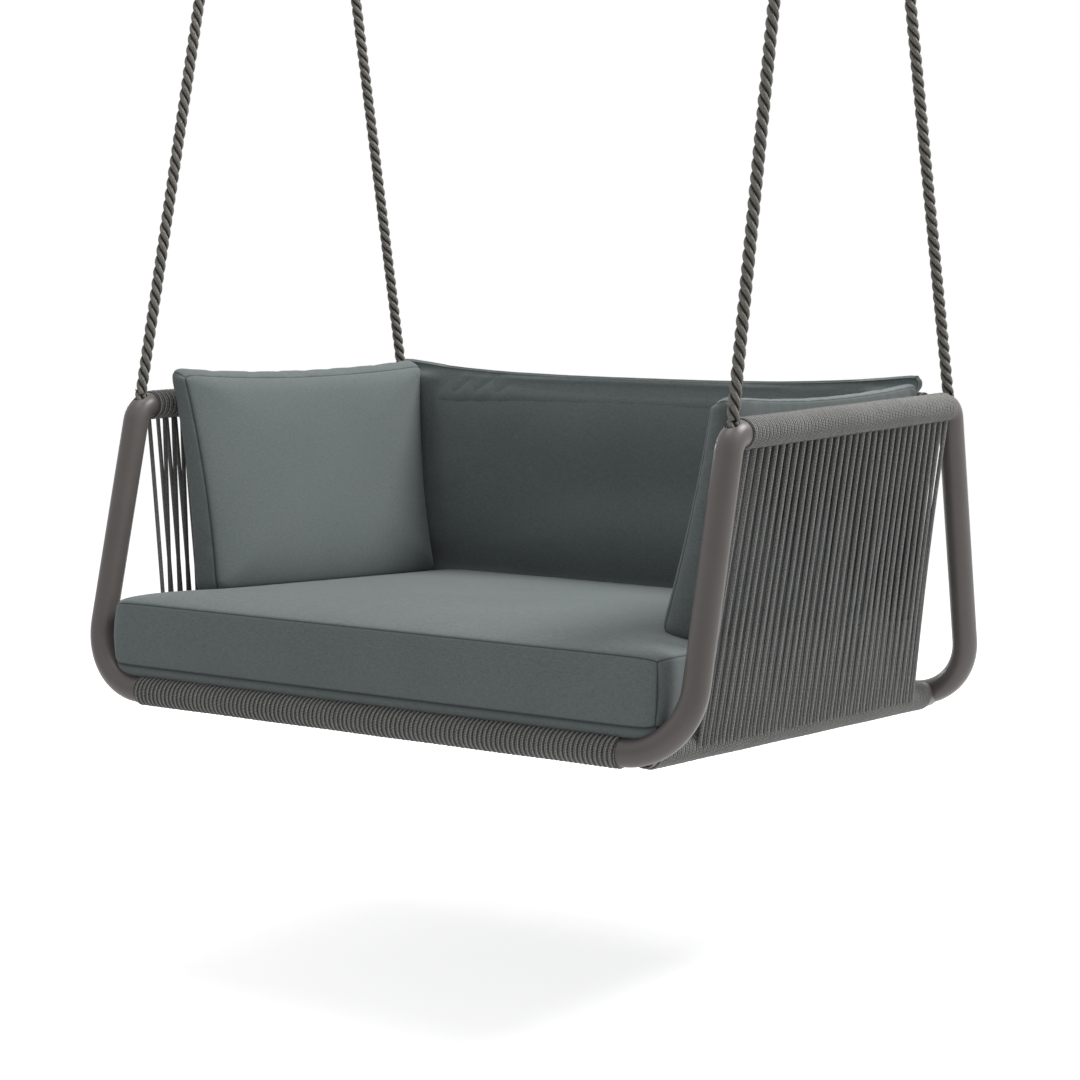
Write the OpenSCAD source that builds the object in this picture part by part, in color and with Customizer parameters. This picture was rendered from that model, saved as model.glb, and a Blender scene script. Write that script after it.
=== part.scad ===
// Hanging swing bed: a bent tube frame with cord-wound rails and cord panels,
// four loose cushions, and four ropes on shackles and eye bolts.
// +X is the right side, -Y the front. The origin is the middle of the eye bolt pattern,
// on the underside of the beam that carries the bed.

/* [Frame] */
// Distance between the axes of the left and right posts
frame_width = 1350; // [1250:10:1450]
// Distance between the front and rear arm corners
arm_depth = 886; // [820:2:940]
// Height of the arm axes above the front bottom rail
arm_height = 540; // [500:5:580]
// Forward reach of the front posts between arm and bottom rail
front_splay = 142; // [120:2:160]
// Rearward reach of the rear posts between arm and bottom rail
rear_splay = 117; // [100:1:140]
// Drop of the rear bottom rail below the front one
seat_drop = 66; // [40:2:80]
// Outside diameter of the frame tube
tube_d = 50; // [46:1:54]
// Wall of the frame tube
tube_wall = 2.5; // [1.5:0.5:4]
// Bend radius of the lower corners, on the tube axis
corner_bend = 125; // [115:5:130]
// Bend radius of the front arm corners, on the tube axis
front_elbow = 40; // [36:1:44]
// Bend radius of the rear arm corners, on the tube axis
rear_elbow = 30; // [28:1:34]
// Distance of a side rail axis from the middle of the bed
side_rail_x = 585; // [580:1:588]
// Distance of the back rail axis ahead of the rear arm corners
back_rail_inset = 43; // [41:1:48]

/* [Cord] */
// Diameter of the cord of the side, back and seat panels
cord_d = 8.5; // [7:0.5:10]
// Spacing of the cords in a panel
cord_pitch = 26; // [24:1:30]
// Thickness of the cord wound round the rails
wrap_t = 3.3; // [2.5:0.1:4]
// Widening of the cord spacing toward the side rail
panel_fan = 1; // [0:0.1:1]

/* [Cushions] */
// Width of the seat cushion
seat_width = 1192; // [1160:2:1194]
// Depth of the seat cushion
seat_depth = 1060; // [1000:5:1062]
// Thickness of the seat cushion at its seams
seat_t = 130; // [100:2:140]
// Crown of the seat cushion above its top seam
seat_crown = 27; // [10:1:32]
// Overhang of the seat cushion past the front rail axis
seat_overhang = 15; // [0:1:20]
// Height of a side cushion
side_h = 475; // [440:1:485]
// Thickness of a side cushion at its seams, half way up
side_t = 46; // [40:1:48]
// Crown of a side cushion's inner face
side_crown = 30; // [10:1:34]
// Width of the back cushion at its top
back_width = 1270; // [1200:2:1272]
// Height of the back cushion at its corners
back_h = 482; // [440:1:490]
// Droop of the back cushion's top edge between its corners
back_droop = 26; // [10:1:35]

/* [Suspension] */
// Rise of the shackle pivots above the arm axes
rope_rise = 1065; // [1000:5:1120]
// Distance between left and right eye bolts
hook_dx = 1306; // [1280:2:1330]
// Distance between front and rear eye bolts
hook_dy = 406; // [380:2:430]
// Diameter of the hanging ropes
rope_d = 24; // [20:1:25]
// Diameter of the eye bolt's wire and shank
eye_d = 12; // [10:1:12]
// Inside diameter of the eye
eye_bore = 30; // [30:1:32]
// Reach of the eye bolts above the beam's underside
shank_reach = 110; // [80:5:140]
// Diameter of the shackle's bow
bow_d = 14; // [12:1:14]
// Clear width between the shackle's legs
jaw = 29; // [28:0.5:30]
// Distance from the eye's wire to the shackle pin
pin_drop = 60; // [58:1:70]
// Diameter of the shackle pin
pin_d = 16; // [14:1:18]
// Width of the thimble
thimble_w = 28; // [24:0.5:28]

/* [Hidden] */
$fn = 64;

// Clearance of soft pieces and of curved faces that lie together
clear = 0.3;
// Play between a pin or a bolt and its bore
play = 0.1;
// Clearance of the three rope feet that stay open while the ropes' joints close the linkage
open_play = 0.8;
// Weld gap left where a tube's saddle lies on another tube
weld_gap = 0.2;

tube_r = tube_d / 2;
wrap_r = tube_r + wrap_t;
half_w = frame_width / 2;
// Eye bolt: ring, bare neck, and the shank with its nut and washer under the beam
eye_ring_r = (eye_bore + eye_d) / 2;
eye_neck = 4;
// The shank is this much thinner above the beam's underside than in the nut
shank_step = 0.5;
washer_t = 3;
washer_d = 36;
nut_t = 10;
nut_width = 19;
eye_drop = 2 * eye_ring_r + eye_d / 2 + eye_neck + nut_t + washer_t;
arm_z = -(eye_drop + rope_rise);
front_y = -(arm_depth / 2 + front_splay);
front_z = arm_z - arm_height;
rear_y = arm_depth / 2 + rear_splay;
rear_z = front_z - seat_drop;
seat_run = rear_y - front_y;
rake = atan(seat_drop / seat_run);
rail_len = norm([seat_run, seat_drop]);
back_rail_y = arm_depth / 2 - back_rail_inset;

// Rope axis from the wrapped rail's axis, for a cord that lies on the winding
cord_off = wrap_r + clear + cord_d / 2;

// Posts: s is -1 at the front and 1 at the rear
function splay(s) = s < 0 ? front_splay : rear_splay;
function post_h(s) = s < 0 ? arm_height : arm_height + seat_drop;
function post_lean(s) = atan(splay(s) / post_h(s));
function post_len(s) = norm([splay(s), post_h(s)]);
function elbow_r(s) = s < 0 ? front_elbow : rear_elbow;
function elbow_turn(s) = 90 - post_lean(s);
function elbow_run(s) = elbow_r(s) * tan(elbow_turn(s) / 2);

// The stopper lies in the elbow, this far round from its lower end
stopper_turn = 20;
// [depth, height] of points in the elbow, with depth counted away from the middle of the bed
function post_up(s) = [-sin(post_lean(s)), cos(post_lean(s))];
function post_in(s) = [-cos(post_lean(s)), -sin(post_lean(s))];
function post_foot(s) = [arm_depth / 2 + splay(s), arm_z - post_h(s)];
function elbow_mid(s) = post_foot(s) + post_up(s) * (post_len(s) - elbow_run(s)) + post_in(s) * elbow_r(s);
function stopper_at(s) = elbow_mid(s)
    + elbow_r(s) * (post_up(s) * sin(stopper_turn) - post_in(s) * cos(stopper_turn));
function eye_at() = [hook_dy / 2, -eye_drop];
function unit(v) = v / norm(v);
function rope_dir(s) = unit(eye_at() - stopper_at(s));
function rope_lean(s) = atan(-rope_dir(s)[0] / rope_dir(s)[1]);
// Distance along the rope's line from the stopper to a circle round the elbow's centre
function reach(s, radius) =
    let (a = stopper_at(s) - elbow_mid(s), b = a * rope_dir(s))
    -b + sqrt(b * b - a * a + radius * radius);
foot_r = rope_d / 2;
function foot_reach(s) = reach(s, elbow_r(s) + tube_r + foot_r + clear);
function eye_to_stopper(s) = norm(eye_at() - stopper_at(s));
function rope_toe(s) = atan((half_w - hook_dx / 2) / (eye_to_stopper(s) - pin_drop));
// Distances down the rope from the shackle pin
function stopper_drop(s) = (eye_to_stopper(s) - pin_drop) / cos(rope_toe(s));
function foot_drop(s) = stopper_drop(s) - foot_reach(s) / cos(rope_toe(s));

// Thimble and splice, in the rope's own frame with the pin at its origin
groove_r = 20;
eye_turn_r = groove_r + rope_d / 2;
eye_throat = 84;
throat_angle = asin(eye_turn_r / eye_throat);
splice_r = 17;
splice_top = 62;
splice_end = 136;
splice_merge = 6;
leg_trim = 4;
whip_t = 2.5;
whip_len = 26;
whip_up = 4;
stopper_r = tube_r - tube_wall - 0.5;

// Colours
taupe = [0.42, 0.40, 0.39];
cord_grey = [0.38, 0.38, 0.37];
rope_grey = [0.42, 0.40, 0.37];
fabric_green = [0.40, 0.45, 0.44];
steel = [0.70, 0.71, 0.72];

// ---------------------------------------------------------------- frame tubes

// Half of a bent frame, right of the middle, in its own upright plane. The rail runs along X.
module half_bend(s, r, over) {
    post_top = post_len(s) - elbow_run(s);
    rotate([0, 90, 0]) translate([0, 0, -0.5]) cylinder(r = r, h = half_w - corner_bend + 0.5);
    translate([half_w - corner_bend, 0, corner_bend]) rotate([0, 90, -90])
        rotate_extrude(angle = 90) translate([corner_bend, 0]) circle(r);
    translate([half_w, 0, corner_bend]) cylinder(r = r, h = post_top - corner_bend);
    translate([half_w, elbow_r(s), post_top]) rotate([90, 0, -90])
        rotate_extrude(angle = elbow_turn(s) + over) translate([elbow_r(s), 0]) circle(r);
}

// The whole outline of one bent frame as a solid bar of radius r, in place. The elbows turn on
// by over degrees.
module bent_bar(s, r, over = 0) {
    mirror([0, s > 0 ? 1 : 0, 0])
        translate([0, -post_foot(s)[0], post_foot(s)[1]]) rotate([-post_lean(s), 0, 0])
            for (m = [0, 1]) mirror([m, 0, 0]) half_bend(s, r, over);
}

// Degrees that the bore turns on past the end of an elbow
bore_over = 4;
module bent_frame(s) {
    color(taupe) difference() {
        bent_bar(s, tube_r);
        bent_bar(s, tube_r - tube_wall, bore_over);
        for (side = [-1, 1]) at_stopper(side, s) cylinder(r = rope_d / 2 + 0.5, h = 2 * tube_d);
    }
}

// A hollow bar from the origin along Y
module pipe_y(r, length, bore) {
    rotate([-90, 0, 0]) difference() {
        cylinder(r = r, h = length);
        translate([0, 0, -1]) cylinder(r = bore, h = length + 2);
    }
}

arm_start = -arm_depth / 2 + elbow_run(-1);
arm_end = arm_depth / 2 - elbow_run(1);

module arm_rail(side) {
    color(taupe) translate([side * half_w, arm_start, arm_z])
        pipe_y(tube_r, arm_end - arm_start, tube_r - tube_wall);
}

// Side rails run from inside the front bend to inside the rear one and are saddled on both
rail_start = 10;
// Ends of the back rail, short of the arm axes
saddle_in = 10;
module on_seat_plane() {
    translate([0, front_y, front_z]) rotate([-rake, 0, 0]) children();
}

module side_rail(side) {
    color(taupe) difference() {
        on_seat_plane() translate([side * side_rail_x, rail_start, 0])
            pipe_y(tube_r, rail_len - 2 * rail_start, tube_r - tube_wall);
        bent_bar(-1, tube_r + weld_gap);
        bent_bar(1, tube_r + weld_gap);
    }
}

module back_rail_bar(r, half_len) {
    translate([-half_len, back_rail_y, arm_z]) rotate([0, 90, 0]) cylinder(r = r, h = 2 * half_len);
}

module back_rail() {
    color(taupe) difference() {
        back_rail_bar(tube_r, half_w - saddle_in);
        back_rail_bar(tube_r - tube_wall, half_w);
        for (side = [-1, 1]) translate([side * half_w, arm_start, arm_z]) rotate([-90, 0, 0])
            cylinder(r = tube_r + weld_gap, h = arm_end - arm_start + tube_d);
        bent_bar(1, tube_r + weld_gap);
    }
}

// ---------------------------------------------------------------- wound rails

wrap_bore = tube_r + 0.05;
// Length of straight bottom rail left bare beside each lower corner
wrap_margin = 2;
bottom_wrap_half = half_w - corner_bend - wrap_margin;
// Space between the back rail's winding and the arms' windings
wrap_space = 4;
back_wrap_half = half_w - wrap_r - wrap_space;

module wrap_x(y, z, half_len) {
    color(cord_grey) translate([-half_len, y, z]) rotate([0, 90, 0]) difference() {
        cylinder(r = wrap_r, h = 2 * half_len);
        translate([0, 0, -1]) cylinder(r = wrap_bore, h = 2 * half_len + 2);
    }
}

module arm_wrap(side) {
    color(cord_grey) difference() {
        translate([side * half_w, arm_start + wrap_margin, arm_z])
            pipe_y(wrap_r, arm_end - arm_start - 2 * wrap_margin, wrap_bore);
        back_rail_bar(tube_r + clear, half_w - wrap_margin);
    }
}

// Bare tube between a side winding and the rear bottom rail's surface
side_wrap_gap = 26;
module side_wrap(side) {
    color(cord_grey) difference() {
        on_seat_plane() translate([side * side_rail_x, 2 * rail_start, 0])
            pipe_y(wrap_r, rail_len - 2 * rail_start - tube_r - side_wrap_gap, wrap_bore);
        bent_bar(-1, tube_r + weld_gap);
    }
}

// ---------------------------------------------------------------- cord panels

module cord(a, b) {
    d = b - a;
    translate(a) rotate([0, acos(d[2] / norm(d)), atan2(d[1], d[0])])
        cylinder(d = cord_d, h = norm(d), $fn = 32);
}

function side_rail_z(y) = front_z - (y - front_y) * tan(rake);

// Ends of a side cord on the right. Both layers leave the underside of the arm, layer 1 a little
// further out, and run down to the outside of the side rail, which they touch.
top_spread = 9;
cord_ring = cord_off + 0.1;
function side_cord_ends(y_top, y_foot, layer) =
    let (
        shift = layer == 1 ? top_spread : -top_spread,
        top = [half_w + shift, arm_z - sqrt(cord_ring * cord_ring - shift * shift)],
        foot = [side_rail_x, side_rail_z(y_foot)],
        run = top - foot,
        turn = atan2(run[1], run[0]) - acos(cord_ring / norm(run))
    )
    [[top[0], y_top, top[1]],
     [foot[0] + cord_ring * cos(turn), y_foot, foot[1] + cord_ring * sin(turn)]];

// First cord of a panel, behind the arm's front end
first_cord = 7;
panel_start = arm_start + first_cord;
side_cords = floor((back_rail_y - wrap_r - cord_d - panel_start) / cord_pitch);
module cord_panel_side(side) {
    color(cord_grey) mirror([side < 0 ? 1 : 0, 0, 0]) for (k = [0:side_cords], layer = [0, 1]) {
        y_top = panel_start + k * cord_pitch + (layer == 0 ? cord_pitch / 2 : 0);
        y_foot = panel_start + k * (cord_pitch + panel_fan) + (layer == 0 ? cord_d + 1 : 0);
        ends = side_cord_ends(y_top, y_foot, layer);
        cord(ends[1], ends[0]);
    }
}

// Seat cords lie over the front and rear bottom rails
deck_half = floor((bottom_wrap_half - cord_d) / cord_pitch);
module cord_deck() {
    color(cord_grey) on_seat_plane() for (k = [-deck_half:deck_half])
        cord([k * cord_pitch, 0, cord_off], [k * cord_pitch, rail_len, cord_off]);
}

// Back cords run down the front of the back rail and of the rear bottom rail
back_run = [rear_y - back_rail_y, arm_z - rear_z];
back_out = [-back_run[1], -back_run[0]] / norm(back_run) * cord_ring;
module cord_panel_back() {
    color(cord_grey) for (k = [-deck_half:deck_half - 1]) {
        x = (k + 0.5) * cord_pitch;
        cord([x, rear_y + back_out[0], rear_z + back_out[1]],
             [x, back_rail_y + back_out[0], arm_z + back_out[1]]);
    }
}

// ---------------------------------------------------------------- cushions

// A box cushion on its own middle: half sizes a and b, thickness t at the seams, crowned
// faces, and all edges but the -Y one drawn in by pinch between the corners. From the middle to
// +X, the -Y edge falls by fall[0] and the +Y edge by fall[1]. The thickness narrows toward +Y by
// the share taper.
corner_round = 20;
around = 48;
per_edge = around / 4;
function spow(v, p) = sign(v) * pow(abs(v), p);
function cushion_edge(i, a, b, pinch) =
    let (
        edge = floor(i / per_edge),
        t = -cos(180 * (i % per_edge) / per_edge),
        u = [1, -t, -1, t][edge],
        v = [t, 1, -t, -1][edge],
        q = [max(0, abs(u) * a - a + corner_round), max(0, abs(v) * b - b + corner_round)],
        k = q[0] > 0 && q[1] > 0 ? corner_round / norm(q) - 1 : 0
    )
    [sign(u) * (abs(u) * a + q[0] * k - (abs(u) == 1 ? pinch * (1 - v * v) : 0)),
     sign(v) * (abs(v) * b + q[1] * k - (v == 1 ? pinch * (1 - u * u) : 0))];

// [share of the outline, height above the middle as a share of the half thickness and crown]
crown_rings = [0.22, 0.42, 0.6, 0.75, 0.86, 0.94, 0.985];
function crown_h(share) = pow(1 - pow(share, 2.6), 0.75);

module cushion(a, b, t, crown, low, pinch, fall = [0, 0], taper = 0) {
    last = len(crown_rings) - 1;
    levels = concat(
        [for (i = [0:last]) [crown_rings[i], -t / 2 - low * crown_h(crown_rings[i])]],
        [[1, -t / 2 + 4], [1.006, 0], [1, t / 2 - 4]],
        [for (i = [0:last]) [crown_rings[last - i], t / 2 + crown * crown_h(crown_rings[last - i])]]
    );
    rings = len(levels);
    points = concat(
        [for (l = levels, i = [0:around - 1])
            let (p = cushion_edge(i, a, b, pinch) * l[0])
            [p[0], p[1] - (p[0] / a) * (fall[0] * (b - p[1]) + fall[1] * (b + p[1])) / (2 * b),
             l[1] * (1 - taper * p[1] / b)]],
        [[0, 0, -t / 2 - low], [0, 0, t / 2 + crown]]
    );
    foot = rings * around;
    faces = concat(
        [for (r = [0:rings - 2], i = [0:around - 1])
            [r * around + i, (r + 1) * around + i, r * around + (i + 1) % around]],
        [for (r = [0:rings - 2], i = [0:around - 1])
            [(r + 1) * around + i, (r + 1) * around + (i + 1) % around, r * around + (i + 1) % around]],
        [for (i = [0:around - 1]) [foot, i, (i + 1) % around]],
        [for (i = [0:around - 1])
            [foot + 1, (rings - 1) * around + (i + 1) % around, (rings - 1) * around + i]]
    );
    polyhedron(points, faces);
}

seat_foot = wrap_r + 2 * clear + cord_d;
seat_foot_crown = 0.5;
seat_mid_y = seat_depth / 2 - seat_overhang;
module seat_cushion() {
    color(fabric_green) on_seat_plane()
        translate([0, seat_mid_y, seat_foot + seat_foot_crown + seat_t / 2])
            cushion(seat_width / 2, seat_depth / 2, seat_t, seat_crown, seat_foot_crown, 5);
}

// Height of the seat's crown along the foot of the side and back cushions
seat_top = seat_foot + seat_foot_crown + seat_t;
function seat_h_at(share) = seat_top + seat_crown * crown_h(share);
// Height of the seat cushion's top at depth y, on the middle line
function seat_top_z(y) =
    let (
        run = (y - front_y - seat_top * sin(rake)) / cos(rake),
        h = seat_h_at(min(1, abs(run - seat_mid_y) / (seat_depth / 2)))
    )
    front_z - run * sin(rake) + h * cos(rake);

// Side cushions lean outward against the cords and stand on the seat cushion
side_lean = 7.2;
side_taper = 0.26;
side_outer_crown = 2;
side_pinch = 15;
// Front end of the side cushions, behind the front rail's axis
side_setback = 200;
side_front_y = front_y + side_setback;
side_back_gap = 0.5;
// Front face of the back cushion, ahead of the rear arm corners
back_setback = 99;
back_front_y = arm_depth / 2 - back_setback;
side_mid_y = (side_front_y + back_front_y - side_back_gap) / 2;
side_half_len = (back_front_y - side_back_gap - side_front_y) / 2;
side_foot_x = 566;
side_foot_sink = 19.8;
// Fall of a side cushion's top edge toward the rear, from its middle
side_top_fall = 7;
module side_cushion(side) {
    color(fabric_green) mirror([side < 0 ? 1 : 0, 0, 0])
        translate([side_foot_x, side_mid_y, seat_top_z(side_mid_y) - side_foot_sink])
            rotate([0, side_lean, 0]) translate([0, 0, side_h / 2]) rotate([90, 0, 90])
                cushion(side_half_len, side_h / 2, side_t, side_outer_crown, side_crown,
                    side_pinch, [side_half_len * tan(rake), side_top_fall], side_taper);
}

// The back cushion is lofted along X from upright sections. Each lies on the cords below the
// back rail, narrows in front of the rail and swells again above it.
back_foot_inset = 20;
back_foot_z = seat_top_z(back_front_y + back_foot_inset) + clear;
back_top_z = back_foot_z + back_h;
function back_panel_y(z) = back_rail_y + (arm_z - z) * back_run[0] / back_run[1] - cord_off - cord_d;
// Room between the cushion and the cords, for the chords between its rows
back_room = 4;
rail_room = 8;
back_swell = 10;
// Rear face of the cushion at height z
function back_face_y(z) = lookup(z, [
    [back_foot_z, back_panel_y(back_foot_z) - back_room],
    [arm_z - 60, back_panel_y(arm_z - 60) - back_room],
    [arm_z - tube_r, back_rail_y - wrap_r - cord_d - rail_room],
    [arm_z + tube_r, back_rail_y - wrap_r - cord_d - rail_room],
    [arm_z + tube_d, back_rail_y - wrap_r + back_swell],
    [back_top_z, back_rail_y - wrap_r + back_swell - 2]
]);
back_rows = 14;
// Half the narrowing of the back cushion from its top to its foot
back_narrow = 20;
back_cols = 22;
function back_section(u) =
    let (
        bulge = 14 * (1 - pow(abs(u), 4)),
        top = back_top_z - back_droop * (1 - pow(abs(u), 3)) - (abs(u) > 0.99 ? 22 : 0),
        foot = back_foot_z + (abs(u) > 0.99 ? 16 : 0)
    )
    concat(
        [for (i = [0:back_rows])
            let (v = i / back_rows, z = foot + (top - foot) * v, edge = pow(abs(2 * v - 1), 8))
            [back_front_y - bulge * (1 - edge) + back_foot_inset * edge, z]],
        [for (i = [back_rows:-1:0])
            let (
                v = i / back_rows,
                z = foot + (top - foot) * v,
                edge = pow(abs(2 * v - 1), 8),
                front = back_front_y + back_foot_inset * edge,
                rear = back_face_y(z)
            )
            [max(front + 6, rear - (rear - front) * 0.35 * edge), z]]
    );

module back_cushion() {
    loop = 2 * (back_rows + 1);
    stations = [for (k = [0:back_cols]) spow(2 * k / back_cols - 1, 0.75)];
    points = concat(
        [for (u = stations, p = back_section(u))
            [u * (back_width / 2 - back_narrow * (back_top_z - p[1]) / back_h), p[0], p[1]]]
    );
    faces = concat(
        [for (k = [0:back_cols - 1], i = [0:loop - 1])
            [k * loop + i, k * loop + (i + 1) % loop, (k + 1) * loop + i]],
        [for (k = [0:back_cols - 1], i = [0:loop - 1])
            [k * loop + (i + 1) % loop, (k + 1) * loop + (i + 1) % loop, (k + 1) * loop + i]],
        [for (i = [0:back_rows - 1]) [i, loop - 1 - i, i + 1]],
        [for (i = [0:back_rows - 1]) [i + 1, loop - 1 - i, loop - 2 - i]],
        [for (i = [0:back_rows - 1])
            [back_cols * loop + i, back_cols * loop + i + 1, back_cols * loop + loop - 1 - i]],
        [for (i = [0:back_rows - 1])
            [back_cols * loop + i + 1, back_cols * loop + loop - 2 - i, back_cols * loop + loop - 1 - i]]
    );
    color(fabric_green) polyhedron(points, faces);
}

// ---------------------------------------------------------------- suspension

module at_eye(side, s) {
    translate([side * hook_dx / 2, s * hook_dy / 2, -eye_drop]) children();
}

module at_pin(side, s) {
    at_eye(side, s) rotate([s * rope_lean(s), 0, 0]) translate([0, 0, -pin_drop]) children();
}

// The rope's own frame: the pin at the origin, along Y, and the rope down -Z
module on_rope(side, s) {
    at_pin(side, s) rotate([0, -side * rope_toe(s), 0]) children();
}

module at_stopper(side, s) {
    on_rope(side, s) translate([0, 0, -stopper_drop(s)]) children();
}

module at_foot(side, s) {
    on_rope(side, s) translate([0, 0, -foot_drop(s)]) children();
}

module every_corner() {
    for (side = [-1, 1], s = [-1, 1]) at_eye(side, s) children();
}

module eye_bolts() {
    color(steel) every_corner() {
        translate([0, 0, eye_ring_r]) rotate([90, 0, 0])
            rotate_extrude() translate([eye_ring_r, 0]) circle(d = eye_d, $fn = 48);
        translate([0, 0, 2 * eye_ring_r]) cylinder(d = eye_d, h = eye_drop - 2 * eye_ring_r);
        translate([0, 0, 2 * eye_ring_r])
            cylinder(d = eye_d - shank_step, h = eye_drop - 2 * eye_ring_r + shank_reach);
    }
}

module washer() {
    difference() {
        cylinder(d = washer_d, h = washer_t);
        translate([0, 0, -1]) cylinder(d = eye_d + 2 * play, h = washer_t + 2);
    }
}

module beam_washers() {
    color(steel) every_corner() translate([0, 0, eye_drop - washer_t]) washer();
}

module eye_nuts() {
    color(steel) every_corner() translate([0, 0, eye_drop - washer_t - nut_t]) difference() {
        cylinder(d = nut_width / cos(30), h = nut_t, $fn = 6);
        translate([0, 0, -1]) cylinder(d = eye_d + 2 * play, h = nut_t + 2);
    }
}

// Shackle: a round bow through the eye, straight legs and two bored ears
bow_turn_r = (jaw + bow_d) / 2;
bow_gap = 0.5;
bow_rise = eye_d / 2 + bow_gap + bow_d / 2 - bow_turn_r;
ear_wall = 7;
ear_r = pin_d / 2 + ear_wall;
module shackle(side, s) {
    color(steel) at_pin(side, s) difference() {
        union() {
            translate([0, 0, pin_drop + bow_rise]) rotate([0, 90, 0]) rotate([0, 0, 90])
                rotate_extrude(angle = 180) translate([bow_turn_r, 0]) circle(d = bow_d, $fn = 48);
            for (m = [-1, 1]) {
                translate([0, m * bow_turn_r, 0]) cylinder(d = bow_d, h = pin_drop + bow_rise);
                translate([0, m * bow_turn_r, 0]) rotate([90, 0, 0])
                    translate([0, 0, -bow_d / 2]) cylinder(r = ear_r, h = bow_d);
            }
        }
        rotate([90, 0, 0]) translate([0, 0, -jaw]) cylinder(d = pin_d + 2 * play, h = 2 * jaw);
    }
}

pin_head_t = 9;
pin_tip = 4;
pin_grip = jaw + 2 * bow_d + pin_tip;
module pin(side, s) {
    color(steel) at_pin(side, s) rotate([90, 0, 0]) translate([0, 0, -jaw / 2 - bow_d - pin_tip]) {
        cylinder(d = pin_d, h = pin_grip + pin_head_t);
        translate([0, 0, pin_grip + clear]) cylinder(r = ear_r - 2, h = pin_head_t - clear);
    }
}

// Round thimble with a rope groove and the bore for the pin
flange_r = groove_r + 7;
groove_room = 0.1;
module thimble(side, s) {
    color(steel) on_rope(side, s) rotate([90, 0, 0]) difference() {
        translate([0, 0, -thimble_w / 2]) cylinder(r = flange_r, h = thimble_w);
        rotate_extrude() translate([eye_turn_r, 0]) circle(r = rope_d / 2 + groove_room, $fn = 48);
        translate([0, 0, -thimble_w]) cylinder(d = pin_d + 2 * play, h = 2 * thimble_w);
    }
}

// The rope's eye: over the thimble and down both sides into the spliced throat
module splice(side, s) {
    color(rope_grey) on_rope(side, s) {
        rotate([90, 0, 0]) rotate([0, 0, -throat_angle])
            rotate_extrude(angle = 180 + 2 * throat_angle) translate([eye_turn_r, 0])
                circle(d = rope_d, $fn = 48);
        for (m = [-1, 1])
            translate([m * eye_turn_r * cos(throat_angle), 0, -eye_turn_r * sin(throat_angle)])
                rotate([0, m * throat_angle, 0]) mirror([0, 0, 1])
                    cylinder(d = rope_d, h = eye_throat * cos(throat_angle) - leg_trim, $fn = 48);
        translate([0, 0, -splice_end]) cylinder(r = splice_r, h = splice_end - splice_top - splice_merge, $fn = 48);
    }
}

module whipping(side, s) {
    color(cord_grey) on_rope(side, s) translate([0, 0, -splice_end + whip_up]) difference() {
        cylinder(r = splice_r + whip_t, h = whip_len, $fn = 48);
        translate([0, 0, -1]) cylinder(r = splice_r + 0.05, h = whip_len + 2, $fn = 48);
    }
}

// A taut rope as one swept tube, with a round foot where it bends into the frame
rope_sides = 12;
rope_rings = 18;
module rope(side, s) {
    foot_gap = side < 0 && s < 0 ? clear : open_play;
    top = -splice_end;
    foot = -foot_drop(s) + foot_r + foot_gap;
    points = [for (k = [0:rope_rings - 1], i = [0:rope_sides - 1])
        let (z = top + (foot - top) * k / (rope_rings - 1), ang = 360 * i / rope_sides)
        [rope_d / 2 * cos(ang), rope_d / 2 * sin(ang), z]];
    faces = concat(
        [[for (i = [rope_sides - 1:-1:0]) i]],
        [for (k = [0:rope_rings - 2], i = [0:rope_sides - 1])
            [k * rope_sides + i, k * rope_sides + (i + 1) % rope_sides,
             (k + 1) * rope_sides + (i + 1) % rope_sides, (k + 1) * rope_sides + i]],
        [[for (i = [0:rope_sides - 1]) (rope_rings - 1) * rope_sides + i]]
    );
    color(rope_grey) on_rope(side, s) polyhedron(points, faces);
}

// The short stretch of rope that bends as the bed swings
module rope_foot(side, s) {
    color(rope_grey) at_foot(side, s) sphere(r = foot_r);
}

// The tail of the rope through the elbow's hole, with its stopper inside the tube
module stopper(side, s) {
    color(rope_grey) at_stopper(side, s) {
        sphere(r = stopper_r);
        cylinder(d = rope_d, h = foot_reach(s) - foot_r - clear);
    }
}

bent_frame(-1);  // front_frame
bent_frame(1);  // rear_frame
arm_rail(-1);  // arm_rail_left
arm_rail(1);  // arm_rail_right
side_rail(-1);  // side_rail_left
side_rail(1);  // side_rail_right
back_rail();
wrap_x(front_y, front_z, bottom_wrap_half);  // front_rail_wrap
wrap_x(rear_y, rear_z, bottom_wrap_half);  // rear_rail_wrap
wrap_x(back_rail_y, arm_z, back_wrap_half);  // back_rail_wrap
arm_wrap(-1);  // arm_wrap_left
arm_wrap(1);  // arm_wrap_right
side_wrap(-1);  // side_wrap_left
side_wrap(1);  // side_wrap_right
cord_panel_side(-1);  // cord_panel_left
cord_panel_side(1);  // cord_panel_right
cord_panel_back();
cord_deck();
seat_cushion();
side_cushion(-1);  // side_cushion_left
side_cushion(1);  // side_cushion_right
back_cushion();
eye_bolts();
beam_washers();
eye_nuts();
shackle(-1, -1);  // shackle_front_left
shackle(1, -1);  // shackle_front_right
shackle(-1, 1);  // shackle_rear_left
shackle(1, 1);  // shackle_rear_right
pin(-1, -1);  // pin_front_left
pin(1, -1);  // pin_front_right
pin(-1, 1);  // pin_rear_left
pin(1, 1);  // pin_rear_right
thimble(-1, -1);  // thimble_front_left
thimble(1, -1);  // thimble_front_right
thimble(-1, 1);  // thimble_rear_left
thimble(1, 1);  // thimble_rear_right
splice(-1, -1);  // splice_front_left
splice(1, -1);  // splice_front_right
splice(-1, 1);  // splice_rear_left
splice(1, 1);  // splice_rear_right
whipping(-1, -1);  // whipping_front_left
whipping(1, -1);  // whipping_front_right
whipping(-1, 1);  // whipping_rear_left
whipping(1, 1);  // whipping_rear_right
rope(-1, -1);  // rope_front_left
rope(1, -1);  // rope_front_right
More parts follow.
